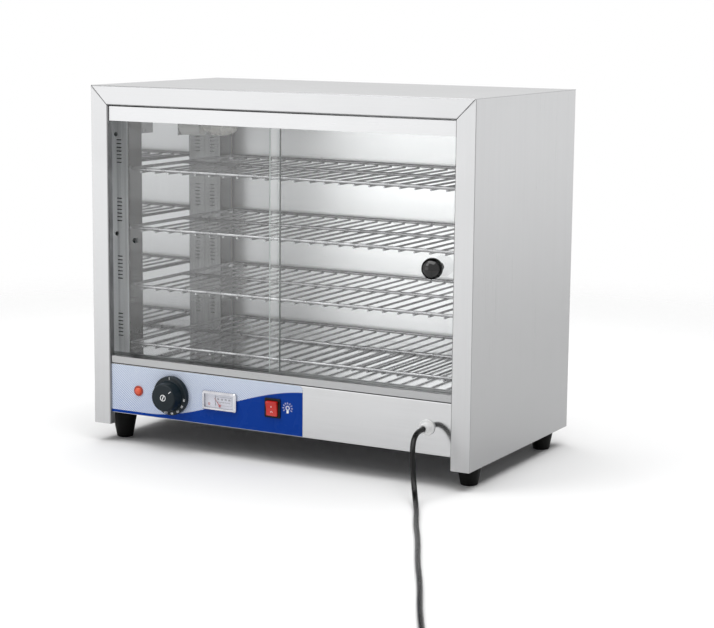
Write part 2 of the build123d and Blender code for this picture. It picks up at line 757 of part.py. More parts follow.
def indicator_lens():
    """The domed lens seated in the rim."""
    radius = LAMP_LENS_D / 2 - 0.8 - SHAFT_CLEAR
    rise = LAMP_RIM_T
    profile = [
        (0, -2),
        (radius, -2),
        (radius, rise),
        (radius * 0.87, rise + LAMP_DOME * 0.45),
        (radius * 0.55, rise + LAMP_DOME * 0.83),
        (0, rise + LAMP_DOME),
    ]
    return turned_y(profile, from_left(LAMP_X), FILM_Y, CONTROL_Z)


def thermostat_body():
    """The thermostat behind the panel, with its bush through the panel."""
    x = from_left(DIAL_X)
    z_range = (CONTROL_Z - STAT_H / 2, CONTROL_Z + STAT_H / 2)
    body = block((x - STAT_W / 2, x + STAT_W / 2), (PANEL_BACK, PANEL_BACK + STAT_D), z_range)
    body = fillet(body.edges().filter_by(Axis.Y), 3)
    body = body + rod_y(BUSH_D / 2, x, (FILM_Y - BUSH_PROUD, PANEL_BACK + 1), CONTROL_Z)
    bore_y = (FILM_Y - BUSH_PROUD - 1, PANEL_BACK + SHAFT_IN_BODY)
    return body - rod_y(SHAFT_D / 2 + SHAFT_CLEAR, x, bore_y, CONTROL_Z)


def dial_front():
    return PANEL_Y - DIAL_STAND


def thermostat_dial():
    """The thermostat's control dial: a skirt for the scale and a taller cap to grip."""
    back = DIAL_OFF_PANEL
    front = FILM_Y - dial_front()
    skirt_r, cap_r, cap_top_r = DIAL_SKIRT_D / 2, DIAL_CAP_D / 2, DIAL_CAP_TOP_D / 2
    hub_r, bore_r = DIAL_HUB_D / 2, SHAFT_D / 2 + SHAFT_CLEAR
    skirt_front = back + DIAL_SKIRT_T
    hub_back = BUSH_PROUD + CLEAR
    inside_top = front - DIAL_WALL
    profile = [
        (skirt_r - DIAL_WALL, back),
        (skirt_r, back),
        (skirt_r, skirt_front - 1.5),
        (skirt_r - 1.5, skirt_front),
        (cap_r, skirt_front),
        (cap_top_r, front - 2),
        (cap_top_r - 0.8, front - 0.6),
        (cap_top_r - 2.2, front),
        (0, front),
        (0, inside_top),
        (bore_r, inside_top),
        (bore_r, hub_back),
        (hub_r, hub_back),
        (hub_r, inside_top),
        (cap_top_r - DIAL_WALL, inside_top),
        (cap_r - DIAL_WALL, skirt_front - DIAL_WALL),
        (skirt_r - DIAL_WALL, skirt_front - DIAL_WALL),
    ]
    return turned_y(profile, from_left(DIAL_X), FILM_Y, CONTROL_Z)


def thermostat_shaft():
    y_range = (dial_front() + DIAL_WALL + SHAFT_CLEAR, PANEL_BACK + SHAFT_IN_BODY - CLEAR)
    return rod_y(SHAFT_D / 2, from_left(DIAL_X), y_range, CONTROL_Z)


def gauge_pocket_size():
    return GAUGE_W - 2 * GAUGE_RIM, GAUGE_H - 2 * GAUGE_RIM


def gauge_face_y():
    """Front of the printed face, at the bottom of the pocket."""
    return FILM_Y - GAUGE_PROUD + GAUGE_POCKET - GAUGE_FACE_T


def thermometer_case():
    """The chromed rim and the case behind it."""
    x = from_left(GAUGE_X)
    rim = rounded_plate(GAUGE_W, GAUGE_H, GAUGE_R, x, CONTROL_Z, (FILM_Y - GAUGE_PROUD, FILM_Y))
    front_edges = rim.faces().sort_by(Axis.Y)[0].edges()
    rim = chamfer(front_edges, 1.2)
    half_w, half_h = GAUGE_BODY_W / 2, GAUGE_BODY_H / 2
    z_body = (CONTROL_Z - half_h, CONTROL_Z + half_h)
    body = block((x - half_w, x + half_w), (FILM_Y - 1, PANEL_BACK + GAUGE_BODY_D), z_body)
    width, height = gauge_pocket_size()
    pocket_y = (FILM_Y - GAUGE_PROUD - 1, FILM_Y - GAUGE_PROUD + GAUGE_POCKET)
    pocket = rounded_plate(width, height, 1.2, x, CONTROL_Z, pocket_y)
    pin_hole = rod_y(NEEDLE_PIN_D / 2 + SHAFT_CLEAR, x, (gauge_face_y(), PANEL_BACK + 4), needle_z())
    return rim + body - pocket - pin_hole


def thermometer_face():
    x = from_left(GAUGE_X)
    width, height = gauge_pocket_size()
    y_range = (gauge_face_y(), gauge_face_y() + GAUGE_FACE_T)
    half_w, half_h = width / 2 - SHAFT_CLEAR, height / 2 - SHAFT_CLEAR
    z_range = (CONTROL_Z - half_h, CONTROL_Z + half_h)
    plate = block((x - half_w, x + half_w), y_range, z_range)
    plate = fillet(plate.edges().filter_by(Axis.Y), 1.2)
    deep = (y_range[0] - 1, y_range[1] + 1)
    return plate - rod_y(NEEDLE_PIN_D / 2 + SHAFT_CLEAR, x, deep, needle_z())


def thermometer_window():
    """The clear window seated in the rim."""
    width, height = gauge_pocket_size()
    back = gauge_face_y() - 2 * CLEAR - NEEDLE_T - CLEAR
    size = (width - 2 * SHAFT_CLEAR, height - 2 * SHAFT_CLEAR)
    return rounded_plate(*size, 1.2, from_left(GAUGE_X), CONTROL_Z, (back - GAUGE_GLASS_T, back))


def needle_z():
    return CONTROL_Z - NEEDLE_LOW


def thermometer_needle():
    """The pointer on its pin; it stands at NEEDLE_REST degrees from upright."""
    x = from_left(GAUGE_X)
    y_range = (gauge_face_y() - 2 * CLEAR - NEEDLE_T, gauge_face_y() - 2 * CLEAR)
    outline = Polyline((-NEEDLE_W, 0), (NEEDLE_W, 0), (0.15, NEEDLE_L), (-0.15, NEEDLE_L), close=True)
    blade = extrude(Plane.XZ.offset(-y_range[1]) * make_face(outline), amount=NEEDLE_T)
    hub = rod_y(NEEDLE_HUB_D / 2, 0, y_range, 0)
    pin = rod_y(NEEDLE_PIN_D / 2, 0, (y_range[1] - 0.1, PANEL_BACK + 3.5), 0)
    return Pos(x, 0, needle_z()) * Rot(0, NEEDLE_REST, 0) * (blade + hub + pin)


def switch_front():
    return FILM_Y - SWITCH_RIM_T


def rocker_pivot_y():
    return switch_front() + ROCKER_DIP + 1


def switch_housing():
    """The black switch housing with a rim, a pocket for the rocker and holes for its pins."""
    x = from_left(SWITCH_X)
    rim = rounded_plate(SWITCH_W, SWITCH_H, 1.5, x, CONTROL_Z, (switch_front(), FILM_Y))
    rim = chamfer(rim.faces().sort_by(Axis.Y)[0].edges(), 0.6)
    z_body = (CONTROL_Z - SWITCH_BODY_H / 2, CONTROL_Z + SWITCH_BODY_H / 2)
    half_w = SWITCH_BODY_W / 2
    body = block((x - half_w, x + half_w), (FILM_Y - 1, PANEL_BACK + SWITCH_BODY_D), z_body)
    pocket_w, pocket_h = ROCKER_W / 2 + CLEAR, ROCKER_H / 2 + ROCKER_GAP
    pocket_y = (switch_front() - 1, switch_front() + POCKET_DEPTH)
    z_pocket = (CONTROL_Z - pocket_h, CONTROL_Z + pocket_h)
    pocket = block((x - pocket_w, x + pocket_w), pocket_y, z_pocket)
    pin_reach = ROCKER_W / 2 + ROCKER_PIN_L + CLEAR
    pin_x = (x - pin_reach, x + pin_reach)
    pins = rod_x(ROCKER_PIN_D / 2 + SHAFT_CLEAR, pin_x, rocker_pivot_y(), CONTROL_Z)
    return rim + body - pocket - pins


def switch_rocker():
    """The rocker, tilted as it stands when switched off, with its two pivot pins."""
    half_h = ROCKER_H / 2
    pivot_to_front = rocker_pivot_y() - switch_front()
    outline = [
        (-(pivot_to_front + ROCKER_RISE), half_h - 0.7),
        (-(pivot_to_front + ROCKER_RISE) + 0.7, half_h - 0.3),
        (0, half_h - 0.2),
        (ROCKER_DEEP, half_h - 2.5),
        (ROCKER_DEEP, -half_h + 2.5),
        (0, -half_h + 0.2),
        (-(pivot_to_front + ROCKER_RISE) + 0.7, -half_h + 0.3),
        (-(pivot_to_front + ROCKER_RISE), -half_h + 0.7),
        (-(pivot_to_front + ROCKER_DIP), 0),
    ]
    face = make_face(Polyline(*outline, close=True))
    rocker = extrude(Plane.YZ * face, amount=ROCKER_W / 2, both=True)
    pin_reach = ROCKER_W / 2 + ROCKER_PIN_L
    rocker = rocker + rod_x(ROCKER_PIN_D / 2, (-pin_reach, pin_reach), 0, 0)
    return Pos(from_left(SWITCH_X), rocker_pivot_y(), CONTROL_Z) * Rot(ROCKER_TILT, 0, 0) * rocker


def heating_element():
    """A tubular element bent to a U under the deck."""
    y0, y1 = ELEMENT_Y
    z = ELEMENT_Z
    points = [(ELEMENT_X, y0, z), (-ELEMENT_X, y0, z), (-ELEMENT_X, y1, z), (ELEMENT_X, y1, z)]
    line = FilletPolyline(*points, radius=ELEMENT_R)
    section = Plane(origin=points[0], z_dir=(-1, 0, 0)) * Circle(ELEMENT_D / 2)
    return sweep(section, path=line)


def element_terminals():
    """Ceramic ends with threaded studs on the two legs of the element."""
    ends = []
    collar_end = ELEMENT_X + ELEMENT_END_L
    for y in ELEMENT_Y:
        collar = rod_x(ELEMENT_END_D / 2, (ELEMENT_X, collar_end), y, ELEMENT_Z)
        ends.append(collar + rod_x(STUD_D / 2, (collar_end, collar_end + STUD_L), y, ELEMENT_Z))
    return ends


def element_brackets():
    """Two folded brackets that stand on the base plate and carry the element."""
    mid = SHEET / 2
    top = ELEMENT_Z - ELEMENT_D / 2 - mid
    low = Z_BASE + SHEET + mid
    x = HALF_W - BRACKET_SIDE_GAP
    brackets = []
    for y, inwards in zip(ELEMENT_Y, (1, -1)):
        web = y + inwards * 3 * BEND
        foot_end = web + inwards * 2 * BRACKET_FOOT
        shelf_end = y - inwards * 2 * BEND
        bracket = folded_x([(foot_end, low), (web, low), (web, top), (shelf_end, top)], BRACKET_W / 2)
        brackets += [Pos(-x, 0, 0) * bracket, Pos(x, 0, 0) * bracket]
    return brackets


def thermostat_probe():
    """The sensing bulb under the deck and the fine tube that joins it to the thermostat."""
    x = from_left(DIAL_X)
    y_stat = PANEL_BACK + STAT_D
    z_bulb = Z_DECK - SHEET - PROBE_D / 2
    x_bulb = x + STAT_W
    y_bulb = y_stat + PROBE_STRAIGHT + PROBE_BACK
    points = [
        (x, y_stat, CONTROL_Z),
        (x, y_stat + PROBE_STRAIGHT, CONTROL_Z),
        (x + PROBE_SIDE, y_bulb, z_bulb),
        (x_bulb, y_bulb, z_bulb),
    ]
    line = FilletPolyline(*points, radius=PROBE_BEND)
    section = Plane(origin=points[0], z_dir=(0, 1, 0)) * Circle(TUBE_D / 2)
    tube = sweep(section, path=line)
    return tube + rod_x(PROBE_D / 2, (x_bulb, x_bulb + PROBE_L), y_bulb, z_bulb)


def terminal_block():
    x, y = HALF_W - TERMINAL_INSET, FRONT + TERMINAL_Y
    z0 = Z_BASE + SHEET
    body = block((x - TERMINAL_L / 2, x + TERMINAL_L / 2), (y, y + TERMINAL_W), (z0, z0 + TERMINAL_H))
    for n in range(TERMINAL_WAYS):
        x_way = x + (n + 0.5 - TERMINAL_WAYS / 2) * TERMINAL_L / TERMINAL_WAYS
        body = body - rod_z(TERMINAL_WAY_D / 2, x_way, y + TERMINAL_W / 2, (z0 + TERMINAL_H - 6, z0 + TERMINAL_H + 1))
    return body


def lamp_z():
    return Z_CEIL - BULB_DROP


def lamp_plate():
    """The folded bracket that hangs the lamp holder from the ceiling."""
    x = from_left(BULB_X) - BULB_L / 2 - HOLDER_L - SHEET / 2
    mid = SHEET / 2
    y = FRONT + BULB_Y
    line = [(x, lamp_z() - HOLDER_D / 2), (x, Z_CEIL - mid), (x - LAMP_PLATE_FOOT, Z_CEIL - mid)]
    section = trace(FilletPolyline(*line, radius=BEND), line_width=SHEET)
    plate = extrude(Plane.XZ.offset(-y) * section, amount=LAMP_PLATE_W / 2, both=True)
    return plate


def lamp_holder():
    x1 = from_left(BULB_X) - BULB_L / 2
    y = FRONT + BULB_Y
    holder = rod_x(HOLDER_D / 2, (x1 - HOLDER_L, x1), y, lamp_z())
    mouth = rod_x(BULB_NECK_D / 2 + CLEAR, (x1 - HOLDER_L / 2, x1 + 1), y, lamp_z())
    return holder - mouth


def lamp_bulb():
    """A small appliance bulb, turned about its own length."""
    neck_r, bulb_r = BULB_NECK_D / 2, BULB_D / 2
    base_l = HOLDER_L / 2
    shape = Polyline((0, -base_l), (neck_r, -base_l), (neck_r, 4), (bulb_r, 18))
    tip = Spline((bulb_r, 18), (bulb_r * 0.92, 38), (0, BULB_L), tangents=[(0, 1), (-1, 0)])
    face = make_face(shape + tip + Line((0, BULB_L), (0, -base_l)))
    upright = revolve(Plane.XZ * face, axis=Axis.Z)
    x1 = from_left(BULB_X) - BULB_L / 2
    return Pos(x1, FRONT + BULB_Y, lamp_z()) * Rot(0, 90, 0) * upright


def gland_mouth_y():
    return PANEL_Y - GLAND_PROUD


def cable_gland():
    """The white strain relief: flange, tapered barrel and the threaded part behind the panel."""
    bore = CORD_D / 2 + CLEAR / 2
    profile = [
        (bore, -SHEET - GLAND_IN),
        (GLAND_BARREL_D / 2, -SHEET - GLAND_IN),
        (GLAND_BARREL_D / 2, 0),
        (GLAND_FLANGE_D / 2, 0),
        (GLAND_FLANGE_D / 2, GLAND_FLANGE_T - 1),
        (GLAND_FLANGE_D / 2 - 1, GLAND_FLANGE_T),
        (GLAND_BARREL_D / 2, GLAND_FLANGE_T),
        (GLAND_MOUTH_D / 2 + 0.6, GLAND_PROUD),
        (bore, GLAND_PROUD),
    ]
    return turned_y(profile, GLAND_X, PANEL_Y, CONTROL_Z)


def gland_nut():
    """The nut that clamps the strain relief from behind the panel."""
    x = GLAND_X
    face = Pos(x, CONTROL_Z) * RegularPolygon(GLAND_NUT_D / 2, 6, major_radius=False)
    nut = extrude(Plane.XZ.offset(-PANEL_BACK - GLAND_NUT_T) * face, amount=GLAND_NUT_T)
    bore_y = (PANEL_BACK - 1, PANEL_BACK + GLAND_NUT_T + 1)
    return nut - rod_y(GLAND_BARREL_D / 2 + SHAFT_CLEAR, x, bore_y, CONTROL_Z)


# The cord's route, chosen by hand: out of the gland, down to the floor and away to the coil.
# X and Y are from the gland's mouth. A height is from the gland's middle, and None lies on the floor.
CORD_ROUTE = [
    (0.0, -14.0, 0.0),
    (2.1, -28.9, -5.5),
    (5.8, -40.2, -16.2),
    (9.8, -46.6, -30.3),
    (14.3, -53.3, -48.6),
    (20.3, -62.2, -60.5),
    (28.2, -74.9, -68.5),
    (38.9, -93.3, None),
    (53.0, -119.8, None),
    (73.2, -161.1, None),
    (109.0, -225.8, None),
    (145.6, -299.2, None),
    (186.3, -372.7, None),
    (224.7, -449.7, None),
    (263.5, -519.7, None),
    (294.9, -580.0, None),
]


def cord_points():
    """Route points in the model's own place, from the gland's mouth to the start of the coil."""
    x0, y0 = GLAND_X, gland_mouth_y()
    points = [(x0, y0, CONTROL_Z)]
    for dx, dy, dz in CORD_ROUTE:
        z = CORD_FLOOR if dz is None else CONTROL_Z + dz
        points.append((x0 + dx, y0 + dy, z))
    return points


def corner_radii(points):
    """Radius of each corner: 0.45 of its shorter run over the tangent of half its turn."""
    radii = []
    for before, here, after in zip(points, points[1:], points[2:]):
        run_in = Vector(*here) - Vector(*before)
        run_out = Vector(*after) - Vector(*here)
        half_turn = math.radians(run_in.get_angle(run_out)) / 2
        radii.append(0.45 * min(run_in.length, run_out.length) / math.tan(half_turn))
    return radii


def power_cord():
    points = cord_points()
    radii = corner_radii(points)
    runs = [(Vector(*b) - Vector(*a)).length for a, b in zip(points, points[1:])]
    line = FilletPolyline(*points, radius=radii)
    direction = Vector(*points[1]) - Vector(*points[0])
    section = Plane(origin=points[0], z_dir=direction) * Circle(CORD_D / 2)
    tube = sweep(section, path=line)
    print("cord runs", [round(run, 1) for run in runs])
    print("cord radii", [round(radius, 1) for radius in radii])
    expected = math.pi * CORD_D**2 / 4 * line.length
    print("cord length", round(line.length, 1), "volume ratio", round(tube.volume / expected, 4))
    return tube


def coil_place():
    """Turns and moves the coil so that its outer lower end carries on from the cord."""
    before, entry = cord_points()[-2:]
    turn = math.degrees(math.atan2(entry[0] - before[0], before[1] - entry[1]))
    return Pos(*entry) * Rot(0, 0, turn) * Pos(-COIL_R, -COIL_END, 0)


def coil_stations():
    """Ends of the coil's half turns: distance from its middle along its own X, and height."""
    stations = [(COIL_R, 0.0)]
    radius = COIL_R
    side = 1
    layers = ((0.0, -COIL_STEP / 2, COIL_TURNS_IN), (COIL_LIFT, COIL_STEP / 2, COIL_TURNS_OUT))
    for layer_height, growth, half_turns in layers:
        if layer_height:
            side = -side
            stations.append((side * radius, layer_height))
        for _ in range(half_turns):
            radius += growth
            side = -side
            stations.append((side * radius, layer_height))
    return stations


def coil_edges():
    """The coil's centre line: half turns that meet on one line, inwards below and outwards above."""
    stations = coil_stations()
    ends = [Vector(x, 0, z) for x, z in stations]
    heading = Vector(0, -1, 0)
    edges = [Line(ends[0] - heading * COIL_END, ends[0])]
    for a, b in zip(ends, ends[1:]):
        crown = (a + b) * 0.5 + heading * ((b - a).length / 2)
        edges.append(ThreePointArc(a, crown, b))
        heading = heading * -1
    edges.append(Line(ends[-1], ends[-1] + heading * COIL_END))
    return edges


def least_self_gap(edges):
    """Least clear distance between stretches of the coil that are over half a turn apart."""
    points = []
    run = 0.0
    for edge in edges:
        steps = 24
        for n in range(steps):
            points.append((run + edge.length * n / steps, edge @ (n / steps)))
        run += edge.length
    least = 1e9
    for i, (run_a, a) in enumerate(points):
        for run_b, b in points[i + 1:]:
            if run_b - run_a > 2.5 * COIL_R:
                least = min(least, (b - a).length)
    return least - CORD_D


def cord_coil():
    edges = coil_edges()
    line = Wire([edge.edge() for edge in edges])
    section = Plane(origin=line @ 0, z_dir=line % 0) * Circle(CORD_D / 2)
    coil = sweep(section, path=line)
    expected = math.pi * CORD_D**2 / 4 * line.length
    print("coil length", round(line.length, 1), "volume ratio", round(coil.volume / expected, 4))
    print("coil least gap", round(least_self_gap(edges), 2))
    return coil_place() * coil


def place_plug(shape):
    """Lays a shape built along +Z from the cord's end in line with the end of the coil."""
    last = coil_edges()[-1]
    end, along = last @ 1, last % 1
    turn = Rot(90, 0, 0) if along.Y < 0 else Rot(-90, 0, 0)
    return coil_place() * Pos(end) * turn * shape


def plug_body():
    """A moulded plug lying on its side: a tapered neck and a rounded body."""
    neck_r, cord_r = PLUG_NECK_D / 2, CORD_D / 2
    neck_profile = [(0, 0), (cord_r + 0.6, 0), (neck_r, PLUG_NECK_L), (0, PLUG_NECK_L)]
    neck = revolve(Plane.XZ * make_face(Polyline(*neck_profile, close=True)), axis=Axis.Z)
    front = PLUG_NECK_L + PLUG_L
    sections = []
    for height, width, thick, radius in (
        (PLUG_NECK_L - 1, PLUG_NECK_D, PLUG_NECK_D, neck_r - 0.5),
        (PLUG_NECK_L + PLUG_L * 0.3, PLUG_W * 0.8, PLUG_H * 0.86, 7),
        (front - 6, PLUG_W, PLUG_H, 8),
        (front, PLUG_W, PLUG_H, 8),
    ):
        sections.append(Pos(0, 0, height) * RectangleRounded(width, thick, radius))
    return place_plug(neck + loft(sections, ruled=True))


def plug_pins():
    """Three flat pins, two of them set at an angle."""
    z0 = PLUG_NECK_L + PLUG_L
    pins = []
    for x, y, turn in ((-PIN_SPREAD, -2.5, PIN_ANGLE), (PIN_SPREAD, -2.5, -PIN_ANGLE), (0, 6.0, 90)):
        pin = Box(PIN_T, PIN_W, PIN_L, align=(Align.CENTER, Align.CENTER, Align.MIN))
        pin = chamfer(pin.faces().sort_by(Axis.Z)[-1].edges(), 0.4)
        pins.append(place_plug(Pos(x, y * 0.9, z0) * Rot(0, 0, turn) * pin))
    return pins


def save(name, shape):
    """Writes one named piece, or a group of like pieces, to its own file."""
    if isinstance(shape, list):
        shape = Compound(children=[solid for piece in shape for solid in piece.solids()])
    export_step(shape, "parts/" + name + ".step")


def build():
    save("top_cover", top_cover())
    stile = right_stile()
    save("right_stile", stile)
    save("left_stile", mirrored(stile))
    side = right_side()
    save("right_side_panel", side)
    save("left_side_panel", mirrored(side))
    save("back_panel", back_panel())
    save("casing_screws", casing_screws())
    save("base_plate", base_plate())
    for name, (x, y) in zip(("front_left", "front_right", "rear_left", "rear_right"), foot_places()):
        save("foot_" + name, foot(x, y))
    save("foot_screws", foot_screws())
    save("control_panel", control_panel())
    save("panel_film", panel_film())
    save("sill_track", sill_track())
    save("head_track", head_track())
    save("door_stops", door_stops())
    save("left_door_glass", pane(LEFT_PANE_X, PANE_Y[1], LEFT_PANE_X + LEFT_PULL_INSET))
    save("right_door_glass", pane(RIGHT_PANE_X, PANE_Y[0], knob_x()))
    save("door_knob", door_knob())
    save("knob_washers", knob_washers())
    save("knob_screw", knob_screw())
    save("chamber_deck", chamber_deck())
    for name, y_front in zip(("front", "rear"), POST_Y):
        post = right_post(y_front)
        save(name + "_right_post", post)
        save(name + "_left_post", mirrored(post))
    save("shelf_clips", shelf_clips())
    for n, z in enumerate(SHELF_Z):
        save("wire_shelf_" + str(n + 1), wire_shelf(z))
    save("indicator_lamp", indicator_lamp())
    save("indicator_lens", indicator_lens())
    save("thermostat_body", thermostat_body())
    save("thermostat_dial", thermostat_dial())
    save("thermostat_shaft", thermostat_shaft())
    save("thermostat_probe", thermostat_probe())
    save("thermometer_case", thermometer_case())
    save("thermometer_face", thermometer_face())
    save("thermometer_needle", thermometer_needle())
    save("thermometer_window", thermometer_window())
    save("switch_housing", switch_housing())
    save("switch_rocker", switch_rocker())
    save("heating_element", heating_element())
    save("element_terminals", element_terminals())
    save("element_brackets", element_brackets())
    save("terminal_block", terminal_block())
    save("lamp_plate", lamp_plate())
    save("lamp_holder", lamp_holder())
    save("lamp_bulb", lamp_bulb())
    save("cable_gland", cable_gland())
    save("gland_nut", gland_nut())
    save("power_cord", power_cord())
    save("cord_coil", cord_coil())
    save("plug_body", plug_body())
    save("plug_pins", plug_pins())


build()
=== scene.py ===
import json
import math

import bmesh
import bpy
from mathutils import Matrix, Vector


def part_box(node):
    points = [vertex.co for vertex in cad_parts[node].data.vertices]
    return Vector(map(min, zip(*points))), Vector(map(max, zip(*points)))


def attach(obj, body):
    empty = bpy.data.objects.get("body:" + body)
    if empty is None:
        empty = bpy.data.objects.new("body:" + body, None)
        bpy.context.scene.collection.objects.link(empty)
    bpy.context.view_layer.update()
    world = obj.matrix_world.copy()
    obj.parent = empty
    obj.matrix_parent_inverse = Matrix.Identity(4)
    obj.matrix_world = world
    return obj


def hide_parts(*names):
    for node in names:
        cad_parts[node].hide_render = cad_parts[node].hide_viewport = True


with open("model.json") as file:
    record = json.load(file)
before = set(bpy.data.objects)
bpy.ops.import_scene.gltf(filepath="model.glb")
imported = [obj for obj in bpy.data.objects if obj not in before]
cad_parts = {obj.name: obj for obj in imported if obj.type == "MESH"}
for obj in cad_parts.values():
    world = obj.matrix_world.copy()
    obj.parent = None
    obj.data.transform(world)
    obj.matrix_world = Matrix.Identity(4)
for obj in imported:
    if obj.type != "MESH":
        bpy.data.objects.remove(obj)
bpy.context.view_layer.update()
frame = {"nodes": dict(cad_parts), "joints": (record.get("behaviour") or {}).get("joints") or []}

MM = 0.001
COLLECTION = bpy.context.scene.collection

# The photograph's camera, in metres and degrees
CAMERA_PLACE = (1.2930, -2.2817, 0.6153)
CAMERA_AZIMUTH = 28.683
CAMERA_ELEVATION = 9.343
CAMERA_ROLL = 0.535
CAMERA_LENS = 96.63
SENSOR_WIDTH = 36.0

# The mains lead, in metres: its route from the gland's mouth, as in the part's source
CORD_D = 7 * MM
CORD_FLOOR = CORD_D / 2
CORD_ROUTE = [
    (0.0, -0.0140, 0.0),
    (0.0021, -0.0289, -0.0055),
    (0.0058, -0.0402, -0.0162),
    (0.0098, -0.0466, -0.0303),
    (0.0143, -0.0533, -0.0486),
    (0.0203, -0.0622, -0.0605),
    (0.0282, -0.0749, -0.0685),
    (0.0389, -0.0933, None),
    (0.0530, -0.1198, None),
    (0.0732, -0.1611, None),
    (0.1090, -0.2258, None),
    (0.1456, -0.2992, None),
    (0.1863, -0.3727, None),
    (0.2247, -0.4497, None),
    (0.2635, -0.5197, None),
    (0.2949, -0.5800, None),
]
COIL_R = 44.5 * MM
COIL_STEP = 8.8 * MM
COIL_LIFT = 7.8 * MM
COIL_TURNS_IN = 4
COIL_TURNS_OUT = 5
COIL_LEAD = 7 * MM
POINTS_PER_HALF_TURN = 8

# The plug's sleeve and body, in millimetres: distance from the cord, width, thickness and corner
PLUG_SECTIONS = [
    (15.6, 10.0, 10.0, 4.6),
    (17.5, 13.0, 12.6, 5.4),
    (21.0, 17.8, 15.8, 6.4),
    (26.0, 21.4, 18.0, 7.0),
    (31.0, 23.0, 18.8, 7.4),
    (36.0, 23.4, 19.0, 7.6),
    (41.0, 24.6, 19.6, 7.8),
    (45.0, 26.4, 20.6, 8.0),
    (48.0, 27.0, 21.0, 8.0),
    (53.0, 27.0, 21.0, 8.0),
    (53.8, 26.2, 20.2, 7.6),
    (54.0, 25.2, 19.2, 7.1),
]

# The shelves' sizes, as in the part's source
ROD_R = 2.25 * MM
WIRE_R = 1.5 * MM
WELD = 0.3 * MM
WIRE_COUNT = 22
WIRE_TIP = 1.6 * MM
SHELF_CORNER_R = 9 * MM

# How thick printed marks are, which only the scene has
PRINT_T = 0.08 * MM

# The casing's half width and top, which the seam at its front corners is measured from
CASING_HALF_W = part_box("top_cover")[1].x
CASING_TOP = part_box("top_cover")[1].z

# How the needle and the rocker stand at rest, in degrees
NEEDLE_REST = -40
ROCKER_REST = 8

# Light that the white surroundings give to surfaces, against 1 where the camera or a reflection sees them
AMBIENT = 0.24


def mm(*values):
    return Vector([value * MM for value in values])


def joint_place(name):
    """Where a joint of the frame turns, in metres."""
    return next(Vector(joint["pos_m"]) for joint in frame["joints"] if joint["name"] == name)


def middle(node):
    low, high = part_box(node)
    return (low + high) / 2


def span(node):
    """A node's width, depth and height in millimetres."""
    low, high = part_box(node)
    return (high - low) / MM


def make_camera():
    """A camera where the photograph's stood."""
    data = bpy.data.cameras.new("photo_camera")
    data.sensor_fit = "HORIZONTAL"
    data.sensor_width = SENSOR_WIDTH
    data.lens = CAMERA_LENS
    data.clip_start = 0.05
    data.clip_end = 60
    camera = bpy.data.objects.new("photo_camera", data)
    COLLECTION.objects.link(camera)
    round_z = Matrix.Rotation(math.radians(CAMERA_AZIMUTH), 4, "Z")
    down = Matrix.Rotation(math.radians(90 - CAMERA_ELEVATION), 4, "X")
    roll = Matrix.Rotation(math.radians(CAMERA_ROLL), 4, "Z")
    camera.matrix_world = Matrix.Translation(CAMERA_PLACE) @ round_z @ down @ roll
    bpy.context.scene.camera = camera


# Short ways to add and join nodes

def add(tree, kind, inputs=None, **settings):
    """A node with its settings, and its inputs set to values or joined to sockets."""
    node = tree.nodes.new(kind)
    for name, value in settings.items():
        setattr(node, name, value)
    for key, value in (inputs or {}).items():
        if isinstance(value, bpy.types.NodeSocket):
            tree.links.new(value, node.inputs[key])
        else:
            node.inputs[key].default_value = value
    return node


def calc(tree, operation, *values, clamp=False):
    """One step of arithmetic on sockets or numbers."""
    node = add(tree, "ShaderNodeMath", dict(enumerate(values)), operation=operation)
    node.use_clamp = clamp
    return node.outputs[0]


def blend(tree, share, first, second):
    """A colour between two others."""
    node = tree.nodes.new("ShaderNodeMix")
    node.data_type = "RGBA"
    for socket, value in zip((node.inputs[0], node.inputs[6], node.inputs[7]), (share, first, second)):
        if isinstance(value, bpy.types.NodeSocket):
            tree.links.new(value, socket)
        else:
            socket.default_value = value if socket == node.inputs[0] else (*value, 1)
    return node.outputs[2]


def ramp(tree, value, low, high):
    """0 below low, 1 above high, and smooth between."""
    node = add(
        tree,
        "ShaderNodeMapRange",
        {"Value": value, "From Min": low, "From Max": high},
        interpolation_type="SMOOTHSTEP",
    )
    return node.outputs[0]


def between(tree, share, first, second):
    """A number between two others."""
    node = add(tree, "ShaderNodeMapRange", {"Value": share, "To Min": first, "To Max": second})
    return node.outputs[0]


def vector(tree, x=0.0, y=0.0, z=0.0):
    """A vector from three sockets or numbers."""
    return add(tree, "ShaderNodeCombineXYZ", {0: x, 1: y, 2: z}).outputs[0]


def object_place(tree):
    """X, Y and Z of the shaded point in the object's own place, in metres."""
    coordinates = add(tree, "ShaderNodeTexCoord").outputs["Object"]
    split = add(tree, "ShaderNodeSeparateXYZ", {0: coordinates})
    return split.outputs[0], split.outputs[1], split.outputs[2]


def face_direction(tree):
    """The way that the shaded face looks, as its X, Y and Z."""
    normal = add(tree, "ShaderNodeTexCoord").outputs["Normal"]
    return add(tree, "ShaderNodeSeparateXYZ", {0: normal}).outputs


def shader_group(name, inputs, outputs):
    """An empty shader group with float inputs and named outputs; returns its tree and end nodes."""
    tree = bpy.data.node_groups.new(name, "ShaderNodeTree")
    for label, default in inputs:
        socket = tree.interface.new_socket(name=label, in_out="INPUT", socket_type="NodeSocketFloat")
        socket.default_value = default
    for label in outputs:
        tree.interface.new_socket(name=label, in_out="OUTPUT", socket_type="NodeSocketFloat")
    return tree, tree.nodes.new("NodeGroupInput"), tree.nodes.new("NodeGroupOutput")


